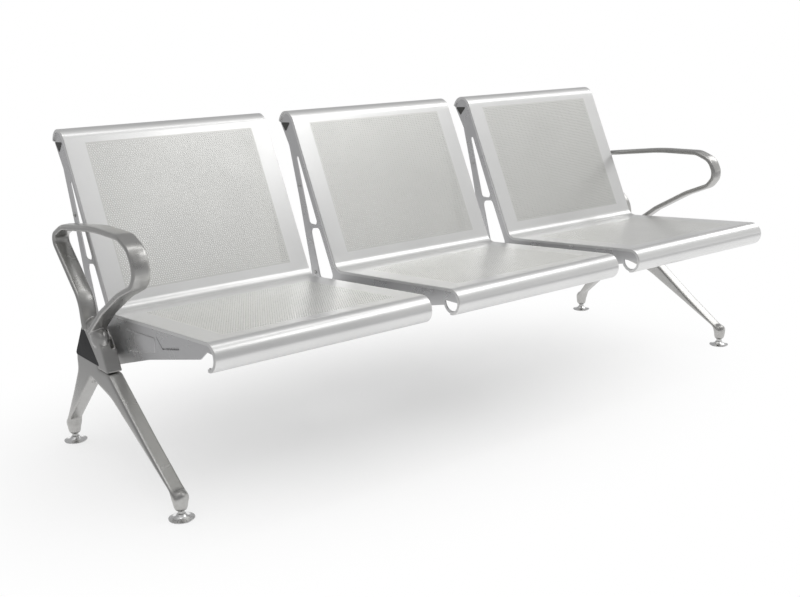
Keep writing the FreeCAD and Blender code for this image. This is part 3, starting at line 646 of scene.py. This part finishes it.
def mirror_copy(piece, name):
    """Copy of a piece for the other end of the beam."""
    activate(piece)
    bpy.ops.object.duplicate(linked=False)
    copy = bpy.context.object
    copy.name = name
    copy.scale.x = -1
    apply_place(copy)
    pick(copy, "VERT", anything)
    turn_outward()
    return copy


# Armrest

ARMREST_SECTION = [
    (-21, -6.2, 5.6), (-2, -7.6, 60), (17, -6.2, 5.6),
    (17, 5.8, 5.4), (-2, 7.4, 60), (-21, 5.8, 5.4),
]
ARMREST_PATH = [
    (147, 318, 0), (155, 381, 62), (295, 500, 18), (226, 530.5, 110), (30, 554, 780), (-104, 556.5, 62),
    (-150, 539, 42), (-165, 509, 30), (-164, 488, 20), (-147, 465.5, 36), (-73, 436, 200), (34, 378, 120),
    (118, 318, 0),
]
SADDLE = [(66, 284, 3), (205, 265, 0), (164, 326, 5), (150, 332, 8), (108, 324, 12), (80, 306, 30)]
SADDLE_FOOT = [
    (46, SPLIT_Z, 2), (97.8, SPLIT_Z, 0), (97.8, 255, 0), (212, 255, 0), (190, 287, 0), (68, 287, 4),
    (57, 262, 40),
]
SADDLE_GROOVE = [(84, 284, 3), (205, 265, 0), (164, 326, 5), (150, 332, 8), (118, 324, 8), (96, 306, 30)]
SADDLE_RIB = [(67, 284, 3), (205, 265, 0), (164, 326, 5), (150, 332, 8), (108, 328, 8), (82, 306, 30)]
GROOVE_X = (-870.5, -863.5)
SWELLING_CENTRE = (-881.5, 100, 306)
SWELLING_RADII = (17, 30, 26)
CROTCH_CENTRE = (-877, 134, 326)
CROTCH_RADII = (17, 26, 17)
ARMREST_VOXEL = 1.4
ARMREST_POLISH = 16


def make_armrest():
    """Closed loop that grows out of a saddle over the end of the beam."""
    loop = make_bar("armrest_casting_left", ARMREST_SECTION, CASTING_MID, ARMREST_PATH)
    swing(loop, -ARMREST_SPLAY, CASTING_MID, ARMREST_PIVOT_Y)
    parts = [
        loop,
        make_slab("saddle", SADDLE, CASTING_OUTER, GROOVE_X[0]),
        make_slab("saddle_foot", SADDLE_FOOT, CASTING_OUTER, CASTING_INNER),
        make_slab("saddle_groove", SADDLE_GROOVE, GROOVE_X[0] - OVERLAP, GROOVE_X[1] + OVERLAP),
        make_slab("saddle_rib", SADDLE_RIB, GROOVE_X[1], CASTING_INNER),
        make_ball("saddle_swelling", SWELLING_CENTRE, SWELLING_RADII),
        make_ball("saddle_crotch", CROTCH_CENTRE, CROTCH_RADII),
    ]
    armrest = cast_in_one(parts, "armrest_casting_left", ARMREST_VOXEL, ARMREST_POLISH)
    seat_beam(armrest)
    smooth(armrest)
    return armrest


# Leg

FOOT_FRONT_Y = FEET_Y["front"]
FOOT_REAR_Y = FEET_Y["rear"]
LEG_OUTLINE = [
    (46, 238, 3), (16, 216, 60), (-104, 131, 400),
    (FOOT_FRONT_Y + 16, 65, 60), (FOOT_FRONT_Y - 12, 50, 5), (FOOT_FRONT_Y - 10, 40, 0),
    (FOOT_FRONT_Y + 8, 40, 0), (FOOT_FRONT_Y + 16, 56, 0),
    (-92, 115, 300), (44, 185, 160), (148, 208, 25), (194, 168, 160),
    (FOOT_REAR_Y - 18, 62, 0), (FOOT_REAR_Y - 10, 40, 0),
    (FOOT_REAR_Y + 11, 46, 0), (FOOT_REAR_Y - 10, 72, 60),
    (262, 149, 160), (219, 212, 40), (217.4, 247, 0), (212.4, 255, 0),
    (98, 255, 0), (98, 238.5, 0),
]
ANKLE_RINGS = [(12.5, 19), (14.2, 25), (15.5, 33), (16.4, 41), (16.4, 49), (14.6, 55.5), (10, 60.5), (1, 63)]
BOLT_YS = (86, 132, 168)
BOLT_WELL = [(7.1, 150), (7.1, 225)]
LEG_VOXEL = 1.7
LEG_POLISH = 60


def make_leg():
    """Saddle under the end of the beam with a long front limb and a shorter rear limb."""
    parts = [make_slab("leg_casting_left", LEG_OUTLINE, CASTING_OUTER, CASTING_INNER)]
    for foot_y in FEET_Y.values():
        parts.append(draw_up("ankle", (CASTING_MID, foot_y), ANKLE_RINGS))
    leg = cast_in_one(parts, "leg_casting_left", LEG_VOXEL, LEG_POLISH)
    seat_beam(leg)
    for y in BOLT_YS:
        cut_out(leg, draw_up("bolt_well", (CASTING_MID, y), BOLT_WELL))
    smooth(leg)
    return leg


def make_castings():
    """Both castings of the left end and their mirrored copies."""
    made = {"armrest": make_armrest(), "leg": make_leg()}
    pieces = []
    for kind, left in made.items():
        right = mirror_copy(left, "%s_casting_right" % kind)
        for side, piece in (("left", left), ("right", right)):
            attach(piece, "bench")
            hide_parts("%s_%s" % (kind, side))
            pieces.append(piece)
    return pieces


castings = make_castings()


# Pressed panels and bent tabs of the side plates

PLATE_OUTER = -254.0
PLATE_INNER = -251.0
PANEL = [(34, 284, 6), (-92, 309, 6), (-97, 343, 6), (47, 332, 6)]
PANEL_HEIGHT = 2.4
PANEL_ROOT = 0.5
PANEL_BEVEL = 2.2
TAB = [(-100, 353, 0), (-122, 318, 3), (-214, 334, 3), (-214, 353, 0)]
TAB_X = (PLATE_INNER + 3.5, PLATE_INNER + 5)
TAB_FOLD = [(-100, 353, 0), (-101.5, 351, 0), (-214, 351, 0), (-214, 353, 0)]
TAB_FOLD_X = (PLATE_INNER, PLATE_INNER + 4)


def make_panel():
    """Panel pressed outward in a side plate, with sloping sides."""
    face_x = PLATE_OUTER - PANEL_HEIGHT
    panel = make_slab("pressed_panel", PANEL, PLATE_OUTER + PANEL_ROOT, face_x)
    pick(panel, "EDGE", lambda points: all(point.x < face_x + NEAR for point in points))
    bpy.ops.mesh.bevel(offset=PANEL_BEVEL * MM, segments=BEVEL_SEGMENTS, affect="EDGES")
    leave()
    smooth(panel)
    return panel


def make_tab():
    """Tab cut on three sides and bent in behind a side plate."""
    web = make_slab("bent_tab", TAB, *TAB_X)
    fold = make_slab("tab_fold", TAB_FOLD, *TAB_FOLD_X)
    return join([web, fold], "bent_tab")


def dress_plates():
    """Panels and tabs for the plates on both sides of every seat."""
    pieces = []
    for kind, left in (("panel", make_panel()), ("tab", make_tab())):
        left.name = "%s_2_left" % kind
        pair = {"left": left, "right": mirror_copy(left, "%s_2_right" % kind)}
        for side, piece in pair.items():
            pieces.append(piece)
            for number, shift in SEAT_SHIFTS.items():
                pieces.append(copy_aside(piece, "%s_%d_%s" % (kind, number, side), shift))
    for piece in pieces:
        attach(piece, "bench")
    return pieces


plate_details = dress_plates()


# Levelling glides

GLIDE_RINGS = [
    (25.6, 0.0), (26.4, 0.3), (27.0, 1.0), (27.0, 2.2), (26.4, 3.0), (24.0, 3.5), (19.0, 4.6), (15.0, 6.2),
    (12.0, 8.4), (10.3, 10.6), (9.6, 11.6), (8.8, 12.0),
]
GLIDE_SOCKET = [(6.05, 12.0), (6.05, 5.0)]


def make_glide_foot(side_name, foot_name):
    """Chromed glide foot with the socket for its stem."""
    centre = (GLIDE_X * (1 if side_name == "right" else -1), FEET_Y[foot_name])
    glide = draw_up("glide_pad_%s_%s" % (side_name, foot_name), centre, GLIDE_RINGS + GLIDE_SOCKET)
    smooth(glide)
    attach(glide, "foot_%s_%s" % (side_name, foot_name))
    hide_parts("glide_foot_%s_%s" % (side_name, foot_name))
    return glide


glide_feet = [
    make_glide_foot(side_name, foot_name)
    for side_name in ("left", "right")
    for foot_name in FEET_Y
]


# Materials

CLOUD_SPREAD = (0.3, 0.7)
DIRT_PATCHES = (0.42, 0.68)
CASTING_DUST = (0.34, 0.33, 0.31)
GLIDE_DUST = (0.3, 0.29, 0.27)


def fill(tree, socket, value):
    """Set a socket to a value, or link it to the socket that feeds it."""
    if isinstance(value, bpy.types.NodeSocket):
        tree.links.new(value, socket)
    else:
        socket.default_value = value


def feed(tree, node, **values):
    """Fill sockets of a node by name, with an underscore for each space in it."""
    for key, value in values.items():
        fill(tree, node.inputs[key.replace("_", " ")], value)


def add(tree, kind, settings=None, **values):
    """Add a node, with its settings and the values of its sockets."""
    made = tree.nodes.new(kind)
    for key, value in (settings or {}).items():
        setattr(made, key, value)
    feed(tree, made, **values)
    return made


def combined(tree, operation, *values, kind="ShaderNodeMath", output="Value"):
    """Result of a math node with its sockets filled in their order."""
    node = add(tree, kind, {"operation": operation})
    for socket, value in zip(node.inputs, values):
        fill(tree, socket, value)
    return node.outputs[output]


def combined_vector(tree, operation, *values):
    """Vector that a vector math node gives."""
    return combined(tree, operation, *values, kind="ShaderNodeVectorMath", output="Vector")


def object_place(tree):
    """Place of a point on its own piece."""
    return add(tree, "ShaderNodeTexCoord").outputs["Object"]


def new_group(name, inputs, output):
    """Empty node group with named number inputs and one number output."""
    tree = bpy.data.node_groups.new(name, "ShaderNodeTree")
    for label, value in inputs.items():
        socket = tree.interface.new_socket(label, in_out="INPUT", socket_type="NodeSocketFloat")
        socket.default_value = value
    tree.interface.new_socket(output, in_out="OUTPUT", socket_type="NodeSocketFloat")
    return tree, tree.nodes.new("NodeGroupInput").outputs, tree.nodes.new("NodeGroupOutput")


def build_cloudiness():
    """Slow change over a surface, from Low to High."""
    tree, given, end = new_group("cloudiness", {"Scale": 6.0, "Low": 0.0, "High": 1.0}, "Value")
    noise = add(
        tree, "ShaderNodeTexNoise", Vector=object_place(tree), Scale=given["Scale"],
        Detail=4.0, Roughness=0.55,
    )
    spread = add(
        tree, "ShaderNodeMapRange", Value=noise.outputs["Fac"],
        From_Min=CLOUD_SPREAD[0], From_Max=CLOUD_SPREAD[1], To_Min=given["Low"], To_Max=given["High"],
    )
    feed(tree, end, Value=spread.outputs["Result"])
    return tree


def build_coat_grain():
    """Fine orange-peel grain of a sprayed powder coat, as a height."""
    tree, given, end = new_group("coat_grain", {"Scale": 900.0, "Peel": 0.5}, "Height")
    place = object_place(tree)
    peel = add(
        tree, "ShaderNodeTexNoise", Vector=place, Scale=given["Scale"], Detail=2.0, Roughness=0.5,
    )
    dots = add(tree, "ShaderNodeTexVoronoi", Vector=place, Scale=given["Scale"])
    both = add(
        tree, "ShaderNodeMix", Factor=given["Peel"], A=dots.outputs["Distance"], B=peel.outputs["Fac"],
    )
    feed(tree, end, Height=both.outputs["Result"])
    return tree


def build_polish_lines():
    """Faint lines that belt polishing leaves across a casting, as a height."""
    tree, given, end = new_group("polish_lines", {"Across": 500.0, "Along": 30.0}, "Height")
    scale = add(tree, "ShaderNodeCombineXYZ", X=given["Along"], Y=given["Across"], Z=given["Across"])
    stretched = combined_vector(tree, "MULTIPLY", object_place(tree), scale.outputs["Vector"])
    noise = add(tree, "ShaderNodeTexNoise", Vector=stretched, Scale=1.0, Detail=3.0)
    feed(tree, end, Height=noise.outputs["Fac"])
    return tree


def build_floor_dirt():
    """Mask that grows towards the floor, broken up by noise: scuffs and dust near the feet."""
    tree, given, end = new_group("floor_dirt", {"Reach": 0.12, "Amount": 0.4}, "Mask")
    place = object_place(tree)
    parts = add(tree, "ShaderNodeSeparateXYZ", Vector=place)
    rise = add(
        tree, "ShaderNodeMapRange", Value=parts.outputs["Z"],
        From_Max=given["Reach"], To_Min=given["Amount"], To_Max=0.0,
    )
    noise = add(tree, "ShaderNodeTexNoise", Vector=place, Scale=70.0, Detail=6.0, Roughness=0.65)
    patches = add(
        tree, "ShaderNodeMapRange", Value=noise.outputs["Fac"],
        From_Min=DIRT_PATCHES[0], From_Max=DIRT_PATCHES[1],
    )
    feed(tree, end, Mask=combined(tree, "MULTIPLY", rise.outputs["Result"], patches.outputs["Result"]))
    return tree


CLOUDINESS = build_cloudiness()
COAT_GRAIN = build_coat_grain()
POLISH_LINES = build_polish_lines()
FLOOR_DIRT = build_floor_dirt()


def grouped(tree, group, output, **values):
    """Place a shared group in a material and hand back its output."""
    return add(tree, "ShaderNodeGroup", {"node_tree": group}, **values).outputs[output]


def clouded(tree, scale, low=0.0, high=1.0):
    """Slow change over the surface between two levels."""
    return grouped(tree, CLOUDINESS, "Value", Scale=scale, Low=low, High=high)


def shaded(colour, share):
    """A colour made darker or lighter."""
    return [value * share for value in colour]


def tinted(tree, first, second, share):
    """Colour between two, by a share from 0 to 1."""
    mix = add(tree, "ShaderNodeMix", {"data_type": "RGBA"}, Factor=share)
    for name, colour in (("A", first), ("B", second)):
        socket = next(s for s in mix.inputs if s.name == name and s.type == "RGBA")
        fill(tree, socket, colour if isinstance(colour, bpy.types.NodeSocket) else (*colour, 1))
    return next(s for s in mix.outputs if s.type == "RGBA")


def raised(tree, height, strength, depth):
    """Normal from a height; the depth is in millimetres."""
    bump = add(tree, "ShaderNodeBump", Height=height, Strength=strength, Distance=depth * MM)
    return bump.outputs["Normal"]


def shader_of(name):
    """New material with its node tree and its shader."""
    material = bpy.data.materials.new(name)
    material.use_nodes = True
    return material, material.node_tree, material.node_tree.nodes["Principled BSDF"]


def silver_coat(name, colour, roughness):
    """Satin silver powder coat on steel."""
    material, tree, shader = shader_of(name)
    grain = grouped(tree, COAT_GRAIN, "Height", Scale=1100.0, Peel=0.7)
    feed(
        tree, shader,
        Base_Color=tinted(tree, shaded(colour, 0.95), colour, clouded(tree, scale=5.0)),
        Roughness=clouded(tree, scale=11.0, low=roughness - 0.025, high=roughness + 0.025),
        Normal=raised(tree, grain, strength=0.12, depth=0.05),
        Metallic=0.75, Coat_Weight=0.12, Coat_Roughness=0.2,
    )
    return material


def cast_metal(name, colour, roughness):
    """Cast aluminium, belt-polished and lacquered, dulled near the floor."""
    material, tree, shader = shader_of(name)
    metal = tinted(tree, shaded(colour, 0.96), colour, clouded(tree, scale=9.0))
    dirt = grouped(tree, FLOOR_DIRT, "Mask", Reach=0.14, Amount=0.45)
    lines = grouped(tree, POLISH_LINES, "Height", Across=650.0, Along=40.0)
    feed(
        tree, shader,
        Base_Color=tinted(tree, metal, CASTING_DUST, dirt),
        Roughness=clouded(tree, scale=24.0, low=roughness - 0.03, high=roughness + 0.04),
        Normal=raised(tree, lines, strength=0.05, depth=0.03),
        Metallic=0.95,
    )
    return material


def bright_metal(name, colour, roughness, dirt_amount):
    """Plated steel, from dull zinc to bright chrome."""
    material, tree, shader = shader_of(name)
    metal = tinted(tree, shaded(colour, 0.93), colour, clouded(tree, scale=60.0))
    dirt = grouped(tree, FLOOR_DIRT, "Mask", Reach=0.02, Amount=dirt_amount)
    feed(
        tree, shader,
        Base_Color=tinted(tree, metal, GLIDE_DUST, dirt),
        Roughness=clouded(tree, scale=90.0, low=roughness * 0.7, high=roughness * 1.4),
        Metallic=1.0,
    )
    return material


def moulded_plastic(name, colour, roughness):
    """Dark moulded plastic with a fine spark-eroded grain."""
    material, tree, shader = shader_of(name)
    grain = grouped(tree, COAT_GRAIN, "Height", Scale=1600.0, Peel=0.2)
    feed(
        tree, shader,
        Base_Color=tinted(tree, colour, shaded(colour, 1.3), clouded(tree, scale=30.0)),
        Roughness=clouded(tree, scale=40.0, low=roughness - 0.04, high=roughness + 0.05),
        Normal=raised(tree, grain, strength=0.25, depth=0.08),
        Specular_IOR_Level=0.35,
    )
    return material


SHELL_COAT = silver_coat("shell_coat", (0.78, 0.78, 0.775), 0.3)
# Painted shade: the back fields are the shells' paint made darker, standing in for the shade in and behind
# the perforation
BACK_FIELD_SHADED_COAT = silver_coat("back_field_coat", (0.67, 0.67, 0.65), 0.38)
# Painted light: the pan fields are the shells' paint made lighter, so they read brighter than their lighting
# makes them
PAN_FIELD_LIT_COAT = silver_coat("pan_field_coat", (0.86, 0.86, 0.84), 0.34)
PLATE_COAT = silver_coat("plate_coat", (0.64, 0.64, 0.645), 0.28)
BEAM_COAT = silver_coat("beam_coat", (0.50, 0.50, 0.50), 0.34)
CASTING = cast_metal("casting_metal", (0.51, 0.506, 0.494), 0.29)
CHROME = bright_metal("glide_chrome", (0.95, 0.95, 0.95), 0.16, 0.2)
ZINC = bright_metal("zinc_plate", (0.58, 0.58, 0.57), 0.32, 0.0)
CAP_PLASTIC = moulded_plastic("cap_plastic", (0.016, 0.016, 0.017), 0.55)
PLUG_PLASTIC = moulded_plastic("plug_plastic", (0.045, 0.045, 0.042), 0.5)


def coat_piece(piece, material):
    """Give a piece one material all over."""
    piece.data.materials.clear()
    piece.data.materials.append(material)


NODE_MATERIALS = {
    "side_plate": PLATE_COAT,
    "beam_tube": BEAM_COAT,
    "beam_end_cap": CAP_PLASTIC,
    "plate_plug": PLUG_PLASTIC,
    "glide_stem": ZINC,
}


def dress_everything():
    """Materials for the new pieces and for the CAD nodes that stay in view."""
    for sheet in seat_sheets:
        coat_piece(sheet, SHELL_COAT)
    for field in seat_fields:
        # Back fields get the darker coat of painted shade, pan fields the lighter coat of painted light
        coat_piece(field, BACK_FIELD_SHADED_COAT if field.name.startswith("back") else PAN_FIELD_LIT_COAT)
    for casting in castings:
        coat_piece(casting, CASTING)
    for detail in plate_details:
        coat_piece(detail, PLATE_COAT)
    for glide in glide_feet:
        coat_piece(glide, CHROME)
    for name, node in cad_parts.items():
        kinds = [kind for kind in NODE_MATERIALS if name.startswith(kind)]
        coat_piece(node, NODE_MATERIALS[kinds[0]] if kinds else ZINC)


dress_everything()


# Studio

FLOOR_SIZE = 80.0
FLOOR_Z = -0.0005
FLOOR_GREY = (0.93, 0.93, 0.93, 1)
FLOOR_ROUGHNESS = 0.75
SHADOW_CENTRE = (-0.2, 0.1, 0.0)
SHADOW_OVAL = (0.62, 1.0, 0.0)
SHADOW_REACH = (0.1, 0.85)
SHADOW_WHITE = 0.32
DIM_LEFT_X = (-1.12, -0.92)
DIM_FRONT_Y = (-1.6, -1.0)
DIM_FLOOR = (0.42, 0.42, 0.425)
WHITE = (1, 1, 1)
CEILING = (0.68, 0.68, 0.675)
CEILING_RISE = (0.04, 0.2)
UNLIT_ROOM = (0.3, 0.3, 0.305)
# Direction of an unlit side, and how nearly a ray points there where it begins and where it is full
UNLIT_FRONT = ((-0.3, -0.95, 0.0), 0.25, 0.85)
UNLIT_LEFT = ((-0.93, 0.36, -0.1), 0.2, 0.85)
UNLIT_REAR = ((0.2, 0.95, 0.25), 0.3, 0.75)
UNLIT_REAR_RISE = (0.05, 0.17, 0.0, 0.8)
ROOM_LEVEL = 0.86
# Place, target, width, height and radiance
SOFTBOXES = {
    "front_right_box": ((2.2, -1.6, 3.5), (0.0, 0.2, 0.6), 3.2, 1.0, 1.9),
    "right_box": ((3.8, -0.1, 2.4), (0.9, -0.1, 0.3), 1.4, 1.2, 2.2),
    "top_box": ((0.0, -0.3, 3.0), (0, 0.1, 0.5), 3.6, 0.35, 1.7),
}


def white_to_eye(tree):
    """1 for rays of the camera, of reflections and of glass, else 0."""
    path = add(tree, "ShaderNodeLightPath").outputs
    seen = combined(tree, "MAXIMUM", path["Is Camera Ray"], path["Is Glossy Ray"])
    return combined(tree, "MAXIMUM", seen, path["Is Transmission Ray"])


def reflected(tree):
    """1 for rays of reflections, else 0."""
    return add(tree, "ShaderNodeLightPath").outputs["Is Glossy Ray"]


def smooth_rise(tree, value, start, end, low=0.0, high=1.0):
    """Soft step of a value from one level to another."""
    step = add(
        tree, "ShaderNodeMapRange", {"interpolation_type": "SMOOTHSTEP"}, Value=value,
        From_Min=start, From_Max=end, To_Min=low, To_Max=high,
    )
    return step.outputs["Result"]


def make_floor():
    """Pale floor that keeps the shadow around the bench and is white to the eye beyond it.

    Reflections show it darker to the left and in front.
    """
    bpy.ops.mesh.primitive_plane_add(size=FLOOR_SIZE, location=(0, 0, FLOOR_Z))
    floor = bpy.context.object
    floor.name = "floor"
    material, tree, shader = shader_of("floor_white")
    feed(tree, shader, Base_Color=FLOOR_GREY, Roughness=FLOOR_ROUGHNESS)
    place = object_place(tree)
    moved = combined_vector(tree, "SUBTRACT", place, SHADOW_CENTRE)
    oval = combined_vector(tree, "MULTIPLY", moved, SHADOW_OVAL)
    reach = combined(tree, "LENGTH", oval, kind="ShaderNodeVectorMath")
    far = smooth_rise(tree, reach, *SHADOW_REACH, SHADOW_WHITE, 1.0)
    parts = add(tree, "ShaderNodeSeparateXYZ", Vector=place)
    left = smooth_rise(tree, parts.outputs["X"], *DIM_LEFT_X, 1.0, 0.0)
    front = smooth_rise(tree, parts.outputs["Y"], *DIM_FRONT_Y, 1.0, 0.0)
    dim = combined(tree, "MULTIPLY", combined(tree, "MAXIMUM", left, front), reflected(tree))
    white = add(tree, "ShaderNodeEmission", Color=tinted(tree, WHITE, DIM_FLOOR, dim), Strength=1.0)
    blend = add(tree, "ShaderNodeMixShader", Fac=combined(tree, "MULTIPLY", far, white_to_eye(tree)))
    tree.links.new(shader.outputs["BSDF"], blend.inputs[1])
    tree.links.new(white.outputs["Emission"], blend.inputs[2])
    feed(tree, tree.nodes["Material Output"], Surface=blend.outputs["Shader"])
    coat_piece(floor, material)


def towards(tree, ray, direction, start, end):
    """Share of a side of the room that a ray meets, growing towards a direction."""
    side = combined(tree, "DOT_PRODUCT", ray, Vector(direction).normalized(), kind="ShaderNodeVectorMath")
    return smooth_rise(tree, side, start, end)


def make_world():
    """White to the eye; reflections show a grey ceiling and the unlit front, left and rear of the room."""
    world = bpy.data.worlds.new("studio")
    world.use_nodes = True
    tree = world.node_tree
    ray = add(tree, "ShaderNodeTexCoord").outputs["Generated"]
    height = add(tree, "ShaderNodeSeparateXYZ", Vector=ray).outputs["Z"]
    ceiling = tinted(tree, WHITE, CEILING, smooth_rise(tree, height, *CEILING_RISE))
    sides = combined(tree, "MAXIMUM", towards(tree, ray, *UNLIT_FRONT), towards(tree, ray, *UNLIT_LEFT))
    high_rear = smooth_rise(tree, height, *UNLIT_REAR_RISE)
    rear = combined(tree, "MULTIPLY", towards(tree, ray, *UNLIT_REAR), high_rear)
    room = tinted(tree, ceiling, UNLIT_ROOM, combined(tree, "MAXIMUM", sides, rear))
    feed(
        tree, tree.nodes["Background"],
        Color=tinted(tree, WHITE, room, reflected(tree)),
        Strength=smooth_rise(tree, white_to_eye(tree), 0.0, 1.0, ROOM_LEVEL, 1.0),
    )
    bpy.context.scene.world = world


def make_softbox(name, place, target, width, height, radiance):
    """Rectangular lamp; its radiance is 1 where it looks as bright as white paper."""
    bpy.ops.object.light_add(type="AREA", location=place)
    lamp = bpy.context.object
    lamp.name = name
    aim = Vector(target) - Vector(place)
    lamp.rotation_euler = aim.to_track_quat("-Z", "Y").to_euler()
    lamp.data.shape = "RECTANGLE"
    lamp.data.size = width
    lamp.data.size_y = height
    lamp.data.energy = radiance * math.pi * width * height


make_floor()
make_world()
for name, settings in SOFTBOXES.items():
    make_softbox(name, *settings)
bpy.context.scene.view_settings.view_transform = "Standard"
